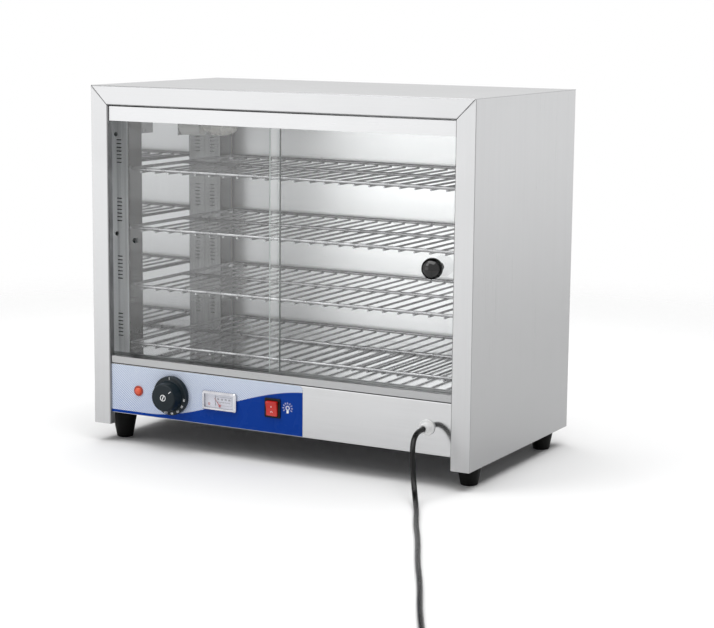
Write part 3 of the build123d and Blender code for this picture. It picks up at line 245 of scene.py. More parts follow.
def rolled_grain_group():
    """Fine lines left by the rolling or brushing of sheet metal, along the axis with the low stretch."""
    inputs = [("Stretch X", 10), ("Stretch Y", 900), ("Stretch Z", 900)]
    tree, start, end = shader_group("rolled_grain", inputs, ["Lines", "Height"])
    coordinates = add(tree, "ShaderNodeTexCoord").outputs["Object"]
    stretch = vector(tree, *(start.outputs[n] for n in range(3)))
    stretched = add(tree, "ShaderNodeVectorMath", {0: coordinates, 1: stretch}, operation="MULTIPLY")
    place = stretched.outputs[0]
    fine = add(tree, "ShaderNodeTexNoise", {"Vector": place, "Scale": 1.0, "Detail": 3.0, "Roughness": 0.7})
    broad = add(tree, "ShaderNodeTexNoise", {"Vector": place, "Scale": 0.13, "Detail": 1.0})
    fine_part = calc(tree, "MULTIPLY", fine.outputs[0], 0.7)
    broad_part = calc(tree, "MULTIPLY", broad.outputs[0], 0.3)
    lines = calc(tree, "ADD", fine_part, broad_part)
    tree.links.new(ramp(tree, lines, 0.25, 0.75), end.inputs["Lines"])
    tree.links.new(fine.outputs[0], end.inputs["Height"])
    return tree


def handled_group():
    """Soft cloudy marks where a surface has been wiped and touched."""
    tree, start, end = shader_group("handled", [("Size", 0.08)], ["Marks"])
    coordinates = add(tree, "ShaderNodeTexCoord").outputs["Object"]
    scale = calc(tree, "DIVIDE", 1.0, start.outputs["Size"])
    cloud = add(
        tree,
        "ShaderNodeTexNoise",
        {"Vector": coordinates, "Scale": scale, "Detail": 4.0, "Roughness": 0.55, "Distortion": 0.6},
    )
    tree.links.new(ramp(tree, cloud.outputs[0], 0.35, 0.75), end.inputs["Marks"])
    return tree


def moulded_group():
    """The fine spark-eroded skin of a moulding, and the dust that settles in it."""
    tree, start, end = shader_group("moulded", [("Grain", 0.0006)], ["Height", "Dust"])
    coordinates = add(tree, "ShaderNodeTexCoord").outputs["Object"]
    scale = calc(tree, "DIVIDE", 1.0, start.outputs["Grain"])
    skin = add(tree, "ShaderNodeTexNoise", {"Vector": coordinates, "Scale": scale, "Detail": 2.0})
    cloud = add(tree, "ShaderNodeTexNoise", {"Vector": coordinates, "Scale": 60.0, "Detail": 5.0})
    tree.links.new(skin.outputs[0], end.inputs["Height"])
    tree.links.new(ramp(tree, cloud.outputs[0], 0.5, 0.8), end.inputs["Dust"])
    return tree


GRAIN = rolled_grain_group()
HANDLED = handled_group()
MOULDED = moulded_group()


def use(tree, group, **values):
    """The outputs of a shared group, with its inputs set."""
    node = tree.nodes.new("ShaderNodeGroup")
    node.node_tree = group
    for label, value in values.items():
        node.inputs[label.replace("_", " ")].default_value = value
    return node.outputs


# Every finish, by the name it was asked for
MATERIALS = {}


def new_material(name, **sockets):
    """A material with one Principled shader, its plain values set on the shader's own sockets."""
    material = bpy.data.materials.new(name)
    material.use_nodes = True
    tree = material.node_tree
    shader = tree.nodes["Principled BSDF"]
    for label, value in sockets.items():
        socket = shader.inputs[label.replace("_", " ")]
        socket.default_value = (*value, 1) if isinstance(value, tuple) else value
    MATERIALS[name] = material
    return tree, shader


def bump(tree, shader, height, distance, strength):
    node = add(tree, "ShaderNodeBump", {"Height": height, "Distance": distance, "Strength": strength})
    tree.links.new(node.outputs[0], shader.inputs["Normal"])


# How the rolled lines are stretched: the low number runs along them
ALONG = {"x": (9, 1100, 1100), "z": (1100, 1100, 9)}

# Heights between which a sheet's painted shade changes, and how square a face is when it isn't a bend
PAINTED_SHADE_FOOT, PAINTED_SHADE_HEAD = 0.03, 0.49
SQUARE_FACE = 0.96
SEAM_TONE = 0.10


def rolled_steel(
    name, along, light, rough, low=1.0, high=1.0, up=1.0, bend=0.5, spread=0.10, depth=0.004, **faces
):
    """Stainless sheet with lines along one axis.

    Its tone goes from low at the foot to high at the top, a painted shade for the darker floor that the
    lower sheet reflects. up is a painted shade on faces that look upwards, and bend a painted shade on the
    folded corners. In faces, inner gives the tone and roughness of a side panel's polished chamber face,
    outer is a painted shade that dims the face that the back panel turns to the wall, and mitre darkens the
    seam at the casing's front corners.
    """
    tree, shader = new_material(name, Metallic=1.0)
    x, y, z = ALONG[along]
    grain = use(tree, GRAIN, Stretch_X=x, Stretch_Y=y, Stretch_Z=z)
    marks = use(tree, HANDLED, Size=0.11)["Marks"]
    lines = calc(tree, "MULTIPLY_ADD", marks, 0.3, calc(tree, "MULTIPLY", grain["Lines"], 0.7), clamp=True)
    place_x, _, place_z = object_place(tree)
    facing = face_direction(tree)
    shade = calc(tree, "MULTIPLY_ADD", grain["Lines"], spread, rough)
    shade = calc(tree, "MULTIPLY_ADD", marks, spread * 0.6, shade)
    # Painted shade: the sheet darkens towards the foot
    tone = between(tree, ramp(tree, place_z, PAINTED_SHADE_FOOT, PAINTED_SHADE_HEAD), low, high)
    # Painted shade on faces that look upwards
    tone = between(tree, calc(tree, "GREATER_THAN", facing[2], 0.5), tone, up)
    # Painted shade on the folded corners, whose faces are not square
    steepest = calc(tree, "ABSOLUTE", facing[0])
    for side in facing[1:]:
        steepest = calc(tree, "MAXIMUM", steepest, calc(tree, "ABSOLUTE", side))
    tone = between(tree, calc(tree, "LESS_THAN", steepest, SQUARE_FACE), tone, bend)
    if "inner" in faces:
        inwards = calc(tree, "LESS_THAN", calc(tree, "MULTIPLY", facing[0], place_x), -0.1)
        tone = between(tree, inwards, tone, faces["inner"][0])
        shade = between(tree, inwards, shade, faces["inner"][1])
    # Painted shade on the back panel's rear face
    if "outer" in faces:
        rearwards = calc(tree, "GREATER_THAN", facing[1], 0.5)
        tone = calc(tree, "MULTIPLY", tone, between(tree, rearwards, 1.0, faces["outer"]))
    if "mitre" in faces:
        from_side = calc(tree, "SUBTRACT", CASING_HALF_W, calc(tree, "ABSOLUTE", place_x))
        from_top = calc(tree, "SUBTRACT", CASING_TOP, place_z)
        off_line = calc(tree, "ABSOLUTE", calc(tree, "SUBTRACT", from_side, from_top))
        seam = calc(tree, "LESS_THAN", off_line, faces["mitre"])
        seam = calc(tree, "MULTIPLY", seam, calc(tree, "LESS_THAN", facing[1], -0.5))
        tone = between(tree, seam, tone, SEAM_TONE)
    dark = tuple(value * 0.9 for value in light)
    steel = blend(tree, lines, dark, light)
    tree.links.new(blend(tree, tone, (0, 0, 0), steel), shader.inputs["Base Color"])
    tree.links.new(shade, shader.inputs["Roughness"])
    bump(tree, shader, grain["Height"], depth * MM, 0.5)


def post_steel(name, front_painted_shade, web_painted_shade, solid=1.0):
    """Polished strip folded to an angle: its front leg catches the light and its web mirrors the chamber.

    Both tones are painted shade: the web tone darkens the web and its fold, the front tone the front leg.
    solid is how far the front leg counts as metal.
    """
    tree, shader = new_material(name)
    grain = use(tree, GRAIN, Stretch_X=160, Stretch_Y=160, Stretch_Z=3)
    # Faces not square to the front, the fold among them, take the web's painted shade
    front = calc(tree, "GREATER_THAN", calc(tree, "ABSOLUTE", face_direction(tree)[1]), 0.98)
    streak = between(tree, grain["Lines"], 0.65, 1.2)
    tone = calc(tree, "MULTIPLY", between(tree, front, web_painted_shade, front_painted_shade), streak, clamp=True)
    tree.links.new(blend(tree, tone, (0, 0, 0), (0.95, 0.955, 0.965)), shader.inputs["Base Color"])
    tree.links.new(between(tree, front, 1.0, solid), shader.inputs["Metallic"])
    tree.links.new(between(tree, front, 0.10, 0.40), shader.inputs["Roughness"])
    bump(tree, shader, grain["Height"], 0.01 * MM, 0.5)


def plain_metal(name, dark, light, rough, spread=0.08):
    """Plated or drawn metal with faint cloudy tarnish."""
    tree, shader = new_material(name, Metallic=1.0)
    marks = use(tree, HANDLED, Size=0.02)["Marks"]
    tree.links.new(blend(tree, marks, light, dark), shader.inputs["Base Color"])
    tree.links.new(calc(tree, "MULTIPLY_ADD", marks, spread, rough), shader.inputs["Roughness"])
    fine = add(tree, "ShaderNodeTexNoise", {"Scale": 900.0, "Detail": 2.0})
    tree.links.new(add(tree, "ShaderNodeTexCoord").outputs["Object"], fine.inputs["Vector"])
    bump(tree, shader, fine.outputs[0], 0.01 * MM, 0.4)


def moulding(name, colour, dusty, rough, depth=0.02, **sockets):
    """A moulded plastic, rubber or ceramic skin with faint grain and dust."""
    tree, shader = new_material(name, **sockets)
    skin = use(tree, MOULDED, Grain=0.0006)
    dust = calc(tree, "MULTIPLY", skin["Dust"], 0.5)
    tree.links.new(blend(tree, dust, colour, dusty), shader.inputs["Base Color"])
    tree.links.new(calc(tree, "MULTIPLY_ADD", skin["Dust"], 0.12, rough), shader.inputs["Roughness"])
    bump(tree, shader, skin["Height"], depth * MM, 0.5)


def clear_pane(name, tint, **sockets):
    """Glass or clear plastic that lamp light, and light going round the chamber, passes straight through."""
    sockets.update(Transmission_Weight=1.0, Roughness=0.0, Base_Color=tint)
    tree, shader = new_material(name, **sockets)
    path = add(tree, "ShaderNodeLightPath").outputs
    mirrored = calc(tree, "SUBTRACT", path["Is Glossy Ray"], path["Is Transmission Ray"], clamp=True)
    bounced = calc(tree, "MAXIMUM", path["Is Diffuse Ray"], mirrored)
    passing = calc(tree, "MAXIMUM", path["Is Shadow Ray"], bounced)
    clear = add(tree, "ShaderNodeBsdfTransparent", {"Color": (0.985, 0.99, 0.99, 1)})
    mixed = add(tree, "ShaderNodeMixShader", {0: passing, 1: shader.outputs[0], 2: clear.outputs[0]})
    tree.links.new(mixed.outputs[0], tree.nodes["Material Output"].inputs["Surface"])


def pane_edge(name, colour, rough):
    """The ground edge of a toughened pane, in a colour that holds a painted highlight or a painted shade."""
    tree, shader = new_material(name, IOR=1.5)
    marks = use(tree, HANDLED, Size=0.02)["Marks"]
    worn = tuple(value * 0.85 for value in colour)
    tree.links.new(blend(tree, marks, colour, worn), shader.inputs["Base Color"])
    tree.links.new(calc(tree, "MULTIPLY_ADD", marks, 0.1, rough), shader.inputs["Roughness"])


def pearl_glass():
    """The lamp's glass, milky inside."""
    tree, shader = new_material("pearl_glass", Transmission_Weight=0.25, IOR=1.45)
    marks = use(tree, HANDLED, Size=0.01)["Marks"]
    tree.links.new(blend(tree, marks, (0.93, 0.91, 0.86), (0.88, 0.86, 0.80)), shader.inputs["Base Color"])
    tree.links.new(calc(tree, "MULTIPLY_ADD", marks, 0.1, 0.25), shader.inputs["Roughness"])


# The film's design, measured on the panel in metres
WAVE_LOW = 0.0475
WAVE_RISE = 0.0555
WAVE_START = -0.200
WAVE_END = 0.055
WAVE_EDGE = 0.15 * MM
SCREEN_TOP = 0.118
SCREEN_DEPTH = 0.075
SCREEN_WEAKEST, SCREEN_GAIN = 0.62, 0.38
DOT_PITCH_X = 3.3 * MM
DOT_PITCH_Z = 2.4 * MM
FILM_BLUE = (0.0, 0.044, 0.33)
FILM_PALE = (0.84, 0.91, 1.0)
FILM_DOT = (0.02, 0.10, 0.44)


def printed_film():
    """A blue wave under a pale ground with a fine dot screen that grows stronger downwards."""
    tree, shader = new_material("printed_film", Specular_IOR_Level=0.08)
    x, _, z = object_place(tree)
    rise = ramp(tree, x, WAVE_START, WAVE_END)
    wave = calc(tree, "MULTIPLY_ADD", rise, WAVE_RISE, WAVE_LOW)
    below = ramp(tree, calc(tree, "SUBTRACT", wave, z), -WAVE_EDGE, WAVE_EDGE)
    sine_x = calc(tree, "SINE", calc(tree, "MULTIPLY", x, 2 * math.pi / DOT_PITCH_X))
    sine_z = calc(tree, "SINE", calc(tree, "MULTIPLY", z, 2 * math.pi / DOT_PITCH_Z))
    dots = ramp(tree, calc(tree, "MULTIPLY", sine_x, sine_z), 0.0, 0.45)
    depth = ramp(tree, calc(tree, "SUBTRACT", SCREEN_TOP, z), 0.0, SCREEN_DEPTH)
    strength = calc(tree, "MULTIPLY_ADD", depth, SCREEN_GAIN, SCREEN_WEAKEST)
    screen = calc(tree, "MULTIPLY", dots, strength)
    pale = blend(tree, screen, FILM_PALE, FILM_DOT)
    tree.links.new(blend(tree, below, pale, FILM_BLUE), shader.inputs["Base Color"])
    marks = use(tree, HANDLED, Size=0.03)["Marks"]
    tree.links.new(calc(tree, "MULTIPLY_ADD", marks, 0.12, 0.22), shader.inputs["Roughness"])


def tinted_plastic(name, colour, deep, rough, glow):
    """A tinted translucent moulding, a little lighter where light gathers in it."""
    tree, shader = new_material(name, IOR=1.5, Coat_Weight=0.4, Specular_IOR_Level=0.3)
    shader.inputs["Subsurface Weight"].default_value = 0.2
    shader.inputs["Subsurface Radius"].default_value = (0.004, 0.001, 0.0008)
    shader.inputs["Emission Strength"].default_value = glow
    skin = use(tree, MOULDED, Grain=0.002)
    tint = blend(tree, skin["Dust"], colour, deep)
    tree.links.new(tint, shader.inputs["Base Color"])
    tree.links.new(tint, shader.inputs["Emission Color"])
    tree.links.new(calc(tree, "MULTIPLY_ADD", skin["Dust"], 0.1, rough), shader.inputs["Roughness"])


STEEL = (0.92, 0.925, 0.935)
# The base plate's steel is painted dark: painted shade under the body
SHADED_BASE_STEEL = (0.26, 0.26, 0.27)
DECK_STEEL = (0.80, 0.80, 0.81)
BACK_STEEL = (0.99, 0.99, 0.995)
MITRE = 0.8 * MM

# The low, high, up and bend tones below are painted shade
rolled_steel("front_steel", "z", STEEL, 0.28, low=0.55, high=0.53, bend=0.32, mitre=MITRE)
rolled_steel("top_steel", "x", STEEL, 0.28, low=0.55, high=0.55, up=0.44, bend=0.30, mitre=MITRE)
rolled_steel("side_steel", "z", STEEL, 0.26, low=0.45, high=0.70, bend=0.34, inner=(0.94, 0.05))
# The back panel's rear face carries a painted shade
rolled_steel("back_steel", "x", BACK_STEEL, 0.36, outer=0.66, spread=0.02, depth=0.001)
rolled_steel("panel_steel", "x", STEEL, 0.08, low=0.62, high=0.72, up=0.16, bend=0.16, spread=0.04)
# Painted shade: the base plate is darkened to keep the floor under the body dark
rolled_steel("base_steel", "x", SHADED_BASE_STEEL, 0.4)
rolled_steel("deck_steel", "x", DECK_STEEL, 0.05, spread=0.04)
rolled_steel("track_metal", "x", STEEL, 0.24, low=0.40, high=0.56, up=0.55)
# Painted shade: dark webs, and darker front legs on the rear posts
post_steel("front_post_steel", 1.0, 0.11, solid=0.05)
post_steel("rear_post_steel", 0.34, 0.11)
plain_metal("clip_steel", (0.30, 0.30, 0.31), (0.50, 0.50, 0.51), 0.16)
plain_metal("shelf_wire", (0.17, 0.17, 0.175), (0.30, 0.30, 0.305), 0.22)
plain_metal("screw_steel", (0.40, 0.40, 0.40), (0.58, 0.58, 0.58), 0.22)
plain_metal("bright_trim", (0.42, 0.42, 0.46), (0.60, 0.60, 0.63), 0.10, 0.05)
plain_metal("element_steel", (0.16, 0.12, 0.10), (0.34, 0.32, 0.31), 0.38)
plain_metal("pin_brass", (0.62, 0.50, 0.26), (0.82, 0.72, 0.46), 0.2)
clear_pane("clear_glass", (0.985, 0.995, 0.992), IOR=1.45)
clear_pane("clear_window", (0.97, 0.97, 0.985), IOR=1.49)
# Pane edges: a painted highlight for one pane and a painted shade for the other
pane_edge("edge_painted_highlight", (0.80, 0.86, 0.84), 0.55)
pane_edge("edge_painted_shade", (0.035, 0.055, 0.05), 0.3)
pearl_glass()
printed_film()
moulding("black_gloss", (0.003, 0.003, 0.003), (0.012, 0.012, 0.012), 0.07, 0.002)
moulding("bezel_black", (0.002, 0.002, 0.002), (0.008, 0.008, 0.008), 0.2, Specular_IOR_Level=0.2)
moulding("dial_black", (0.002, 0.009, 0.014), (0.008, 0.016, 0.021), 0.3, Specular_IOR_Level=0.25)
moulding("rubber_black", (0.002, 0.002, 0.002), (0.010, 0.010, 0.009), 0.6, Specular_IOR_Level=0.15)
moulding("cord_black", (0.003, 0.003, 0.003), (0.008, 0.008, 0.008), 0.22, 0.004, Specular_IOR_Level=0.2)
moulding("white_plastic", (0.84, 0.84, 0.84), (0.74, 0.74, 0.73), 0.30)
moulding("ceramic_white", (0.78, 0.78, 0.76), (0.64, 0.63, 0.60), 0.20)
moulding("white_print", (0.92, 0.93, 0.94), (0.84, 0.85, 0.86), 0.45, 0.002)
moulding("grey_print", (0.07, 0.07, 0.11), (0.12, 0.12, 0.16), 0.5, 0.002)
moulding("gauge_face", (0.80, 0.80, 0.88), (0.74, 0.74, 0.83), 0.5, 0.002)
moulding("needle_red", (0.50, 0.05, 0.06), (0.4, 0.05, 0.06), 0.3, 0.002)
tinted_plastic("lamp_red", (0.74, 0.09, 0.03), (0.50, 0.05, 0.02), 0.16, 0.12)
tinted_plastic("lamp_rim", (0.42, 0.04, 0.02), (0.3, 0.03, 0.02), 0.2, 0.0)
tinted_plastic("rocker_red", (0.66, 0.022, 0.014), (0.48, 0.014, 0.010), 0.16, 0.0)

# The finish of each node that shows as the CAD made it
FINISHED_NODES = {
    "top_steel": ["top_cover"],
    "front_steel": ["left_stile", "right_stile"],
    "side_steel": ["left_side_panel", "right_side_panel"],
    "back_steel": ["back_panel"],
    "base_steel": ["base_plate"],
    "panel_steel": ["control_panel"],
    "deck_steel": ["chamber_deck"],
    "track_metal": ["sill_track", "head_track"],
    "front_post_steel": ["front_left_post", "front_right_post"],
    "rear_post_steel": ["rear_left_post", "rear_right_post"],
    "clip_steel": ["shelf_clips"],
    "screw_steel": [
        "foot_screws",
        "knob_screw",
        "thermostat_shaft",
        "thermostat_probe",
        "element_brackets",
        "lamp_plate",
    ],
    "bright_trim": ["thermometer_case"],
    "element_steel": ["heating_element"],
    "pin_brass": ["plug_pins"],
    "clear_glass": ["left_door_glass", "right_door_glass"],
    "clear_window": ["knob_washers", "thermometer_window"],
    "printed_film": ["panel_film"],
    "gauge_face": ["thermometer_face"],
    "needle_red": ["thermometer_needle"],
    "bezel_black": ["switch_housing"],
    "rubber_black": ["door_stops"],
    "ceramic_white": ["thermostat_body", "element_terminals", "lamp_holder"],
    "white_plastic": ["terminal_block", "gland_nut"],
}


def finish_nodes():
    """Gives the CAD's nodes their finish, and the panes their ground edges, one in a painted highlight and
    one in a painted shade.
    """
    for finish, nodes in FINISHED_NODES.items():
        for node in nodes:
            data = frame["nodes"][node].data
            data.materials.clear()
            data.materials.append(MATERIALS[finish])
    for node, edge in (("right_door_glass", "edge_painted_highlight"), ("left_door_glass", "edge_painted_shade")):
        data = frame["nodes"][node].data
        data.materials.append(MATERIALS[edge])
        for face in data.polygons:
            face.material_index = 0 if abs(face.normal.y) > 0.99 else 1


# Meshes

def piece_from_bmesh(name, mesh, finish, body="root", replaces=(), sharp=32):
    """Turns worked geometry into a finished piece: outward faces, smooth shading and a finish."""
    bmesh.ops.recalc_face_normals(mesh, faces=mesh.faces)
    data = bpy.data.meshes.new(name)
    mesh.to_mesh(data)
    mesh.free()
    data.materials.clear()
    data.materials.append(MATERIALS[finish])
    for face in data.polygons:
        face.use_smooth = True
        face.material_index = 0
    data.set_sharp_from_angle(angle=math.radians(sharp))
    piece = bpy.data.objects.new(name, data)
    COLLECTION.objects.link(piece)
    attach(piece, body)
    if replaces:
        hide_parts(*replaces)
    return piece


TOWARDS_VIEWER = Matrix.Rotation(math.radians(90), 4, "X")


def facing_viewer(node, y):
    """The place on a node's axis at depth y, with its Z towards the viewer."""
    centre = middle(node)
    return Matrix.Translation((centre.x, y, centre.z)) @ TOWARDS_VIEWER


def turned(profile, place, segments=64):
    """A mesh turned from (radius, distance) points in millimetres; its distance runs along place's Z."""
    mesh = bmesh.new()
    rings = []
    for radius, height in profile:
        if radius == 0:
            rings.append([mesh.verts.new(place @ mm(0, 0, height))])
            continue
        ring = []
        for n in range(segments):
            angle = 2 * math.pi * n / segments
            point = mm(radius * math.cos(angle), radius * math.sin(angle), height)
            ring.append(mesh.verts.new(place @ point))
        rings.append(ring)
    for lower, upper in zip(rings, rings[1:]):
        for n in range(segments):
            following = (n + 1) % segments
            corners = [lower[n % len(lower)], lower[following % len(lower)]]
            corners += [upper[following % len(upper)], upper[n % len(upper)]]
            unique = list(dict.fromkeys(corners))
            mesh.faces.new(unique)
    return mesh


def closed_turned(profile, place, segments=64):
    """The same, with its last ring joined to its first, for a piece with a bore."""
    return turned(profile + [profile[0]], place, segments)


def merged(mesh):
    """The same mesh, with points that lie together made one."""
    bmesh.ops.remove_doubles(mesh, verts=mesh.verts, dist=0.001 * MM)
    return mesh


def arc_points(centre_r, centre_h, radius, start, end, steps):
    """Points of an arc in a profile; angles in degrees from the radius direction."""
    points = []
    for n in range(steps + 1):
        angle = math.radians(start + (end - start) * n / steps)
        points.append((centre_r + radius * math.cos(angle), centre_h + radius * math.sin(angle)))
    return points


def rounded_outline(width, height, radius, steps=6):
    """Corner-rounded rectangle about the origin, anticlockwise."""
    points = []
    for n, (sx, sy) in enumerate(((1, 1), (-1, 1), (-1, -1), (1, -1))):
        cx, cy = sx * (width / 2 - radius), sy * (height / 2 - radius)
        for k in range(steps + 1):
            angle = math.radians(90 * n + 90 * k / steps)
            points.append((cx + radius * math.cos(angle), cy + radius * math.sin(angle)))
    return points


def lofted(sections, place):
    """A mesh through outlines given as (points in millimetres, distance along place's Z)."""
    mesh = bmesh.new()
    rings = [[mesh.verts.new(place @ mm(x, y, height)) for x, y in points] for points, height in sections]
    for lower, upper in zip(rings, rings[1:]):
        count = len(lower)
        for n in range(count):
            following = (n + 1) % count
            mesh.faces.new((lower[n], lower[following], upper[following], upper[n]))
    mesh.faces.new(rings[0])
    mesh.faces.new(rings[-1])
    return mesh


# Trees that repeat a part

def geometry_tree(name, inputs):
    """A geometry tree with named inputs; returns it with its start and end nodes."""
    tree = bpy.data.node_groups.new(name, "GeometryNodeTree")
    tree.interface.new_socket(name="Geometry", in_out="OUTPUT", socket_type="NodeSocketGeometry")
    for label, kind in inputs:
        tree.interface.new_socket(name=label, in_out="INPUT", socket_type="NodeSocket" + kind)
    return tree, tree.nodes.new("NodeGroupInput"), tree.nodes.new("NodeGroupOutput")


def end_tree(tree, start, end, geometries):
    """Joins the geometries, moves them to the centre, and makes them real in their material."""
    joined = add(tree, "GeometryNodeJoinGeometry")
    for geometry in geometries:
        tree.links.new(geometry, joined.inputs[0])
    centre = {"Geometry": joined.outputs[0], "Translation": start.outputs["Centre"]}
    placed = add(tree, "GeometryNodeTransform", centre)
    real = add(tree, "GeometryNodeRealizeInstances", {0: placed.outputs[0]})
    coat = {"Geometry": real.outputs[0], "Material": start.outputs["Material"]}
    coated = add(tree, "GeometryNodeSetMaterial", coat)
    tree.links.new(coated.outputs[0], end.inputs[0])


def circle(tree, radius, sides):
    """A round section for a rod or wire."""
    section = add(tree, "GeometryNodeCurvePrimitiveCircle", {"Resolution": sides, "Radius": radius})
    return section.outputs[0]


def straight(tree, start, end):
    """A straight line between two points."""
    return add(tree, "GeometryNodeCurvePrimitiveLine", {"Start": start, "End": end}).outputs[0]


def swept(tree, line, section, caps=False):
    """A mesh with one section all along a line."""
    sockets = {"Curve": line, "Profile Curve": section, "Fill Caps": caps}
    return add(tree, "GeometryNodeCurveToMesh", sockets).outputs[0]


def grown(name, tree, values):
    """The plain mesh that a geometry tree makes with these inputs."""
    carrier = bpy.data.objects.new(name + "_carrier", bpy.data.meshes.new(name + "_carrier"))
    COLLECTION.objects.link(carrier)
    modifier = carrier.modifiers.new("tree", "NODES")
    modifier.node_group = tree
    for item in tree.interface.items_tree:
        if item.in_out == "INPUT":
            modifier[item.identifier] = values[item.name]
    bpy.context.view_layer.update()
    evaluated = carrier.evaluated_get(bpy.context.evaluated_depsgraph_get())
    data = bpy.data.meshes.new_from_object(evaluated)
    carrier.modifiers.remove(modifier)
    bpy.data.objects.remove(carrier)
    mesh = bmesh.new()
    mesh.from_mesh(data)
    return mesh


def wire_shelf_tree():
    """A frame of rod with rounded corners, a middle rod, and cross wires welded under them."""
    lengths = ("Width", "Depth", "Corner", "Rod", "Wire", "Drop", "Tip")
    inputs = [(label, "Float") for label in lengths]
    inputs += [("Wires", "Int"), ("Centre", "Vector"), ("Material", "Material")]
    tree, start, end = geometry_tree("wire_shelf", inputs)
    size = start.outputs
    rod = circle(tree, size["Rod"], 16)
    wire = circle(tree, size["Wire"], 12)
    corners = {"Width": size["Width"], "Height": size["Depth"]}
    square = add(tree, "GeometryNodeCurvePrimitiveQuadrilateral", corners)
    bent = add(tree, "GeometryNodeFilletCurve", {"Curve": square.outputs[0], "Radius": size["Corner"]})
    bent.mode = "POLY"
    bent.inputs["Count"].default_value = 8
    right = calc(tree, "MULTIPLY", size["Width"], 0.5)
    left = calc(tree, "MULTIPLY", right, -1.0)
    middle_line = straight(tree, vector(tree, left), vector(tree, right))
    back = calc(tree, "MULTIPLY_ADD", size["Depth"], 0.5, size["Tip"])
    front = calc(tree, "MULTIPLY", back, -1.0)
    drop = calc(tree, "MULTIPLY", size["Drop"], -1.0)
    wire_line = straight(tree, vector(tree, 0.0, front, drop), vector(tree, 0.0, back, drop))
    pitch = calc(tree, "DIVIDE", size["Width"], calc(tree, "ADD", size["Wires"], 1.0))
    first = vector(tree, calc(tree, "ADD", left, pitch))
    line = {"Count": size["Wires"], "Start Location": first, "Offset": vector(tree, pitch)}
    row = add(tree, "GeometryNodeMeshLine", line)
    copies = {"Points": row.outputs[0], "Instance": swept(tree, wire_line, wire, caps=True)}
    wires = add(tree, "GeometryNodeInstanceOnPoints", copies)
    rods = [swept(tree, bent.outputs[0], rod), swept(tree, middle_line, rod)]
    end_tree(tree, start, end, [*rods, wires.outputs[0]])
    return tree


def make_shelves():
    """The four shelves, grown from one tree."""
    tree = wire_shelf_tree()
    for number in range(1, 5):
        node = "wire_shelf_" + str(number)
        low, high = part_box(node)
        rod_z = high.z - ROD_R
        values = {
            "Width": high.x - low.x - 2 * ROD_R,
            "Depth": high.y - low.y - 2 * max(ROD_R, WIRE_TIP),
            "Corner": SHELF_CORNER_R,
            "Rod": ROD_R,
            "Wire": WIRE_R,
            "Wires": WIRE_COUNT,
            "Drop": ROD_R + WIRE_R - WELD,
            "Tip": WIRE_TIP,
            "Centre": (0, (low.y + high.y) / 2, rod_z),
            "Material": MATERIALS["shelf_wire"],
        }
        mesh = grown(node, tree, values)
        piece_from_bmesh("shelf_wires_" + str(number), mesh, "shelf_wire", "root", [node], 50)


def spoke_tree():
    """Bars set round a circle, each pointing outwards, such as the rays of a lamp sign."""
    lengths = ("Radius", "Length", "Thick", "Depth", "From", "Step")
    inputs = [("Count", "Int")] + [(label, "Float") for label in lengths]
    inputs += [("Centre", "Vector"), ("Material", "Material")]
    tree, start, end = geometry_tree("spokes", inputs)
    size = start.outputs
    points = add(tree, "GeometryNodeMeshLine", {"Count": size["Count"]})
    index = add(tree, "GeometryNodeInputIndex").outputs[0]
    turn = calc(tree, "MULTIPLY_ADD", index, size["Step"], size["From"])
    across = calc(tree, "MULTIPLY", calc(tree, "SINE", turn), size["Radius"])
    up = calc(tree, "MULTIPLY", calc(tree, "COSINE", turn), size["Radius"])
    place = {"Geometry": points.outputs[0], "Position": vector(tree, across, 0.0, up)}
    ring = add(tree, "GeometryNodeSetPosition", place)
    bar_size = vector(tree, size["Thick"], size["Depth"], size["Length"])
    bar = add(tree, "GeometryNodeMeshCube", {"Size": bar_size})
    copies = {
        "Points": ring.outputs[0],
        "Instance": bar.outputs[0],
        "Rotation": vector(tree, 0.0, turn),
    }
    bars = add(tree, "GeometryNodeInstanceOnPoints", copies)
    end_tree(tree, start, end, [bars.outputs[0]])
    return tree


def flat_text(words, size, centre, turn=0):
    """Raised print facing the viewer: a mesh of the words about centre, turned clockwise."""
    curve = bpy.data.curves.new("words", "FONT")
    curve.body = words
    curve.size = size * MM
    curve.extrude = PRINT_T / 2
    curve.offset = size * 0.02 * MM
    curve.align_x = "CENTER"
    curve.align_y = "CENTER"
    carrier = bpy.data.objects.new("words", curve)
    COLLECTION.objects.link(carrier)
    bpy.context.view_layer.update()
    data = bpy.data.meshes.new_from_object(carrier.evaluated_get(bpy.context.evaluated_depsgraph_get()))
    bpy.data.objects.remove(carrier)
    mesh = bmesh.new()
    mesh.from_mesh(data)
    merged(mesh)
    round_axis = Matrix.Rotation(math.radians(turn), 4, "Y")
    mesh.transform(Matrix.Translation(centre) @ round_axis @ TOWARDS_VIEWER)
    return mesh


def flat_shape(outline, centre, turn=0):
    """Raised print facing the viewer from an outline in millimetres."""
    place = Matrix.Translation(centre) @ Matrix.Rotation(math.radians(turn), 4, "Y") @ TOWARDS_VIEWER
    half = PRINT_T / 2 / MM
    return lofted([(outline, -half), (outline, half)], place)


def flat_ring(outer, inner, centre, segments=40):
    """Raised ring of print facing the viewer; radii in millimetres."""
    half = PRINT_T / 2 / MM
    profile = [(outer, -half), (outer, half), (inner, half), (inner, -half)]
    return merged(closed_turned(profile, Matrix.Translation(centre) @ TOWARDS_VIEWER, segments))


def bar_outline(width, height):
    """A plain rectangle about the origin, anticlockwise."""
    x, y = width / 2, height / 2
    return [(-x, -y), (x, -y), (x, y), (-x, y)]


def join_meshes(meshes):
    """One mesh from several, which are used up."""
    whole = bmesh.new()
    for part in meshes:
        data = bpy.data.meshes.new("part")
        part.to_mesh(data)
        part.free()
        whole.from_mesh(data)
        bpy.data.meshes.remove(data)
    return whole


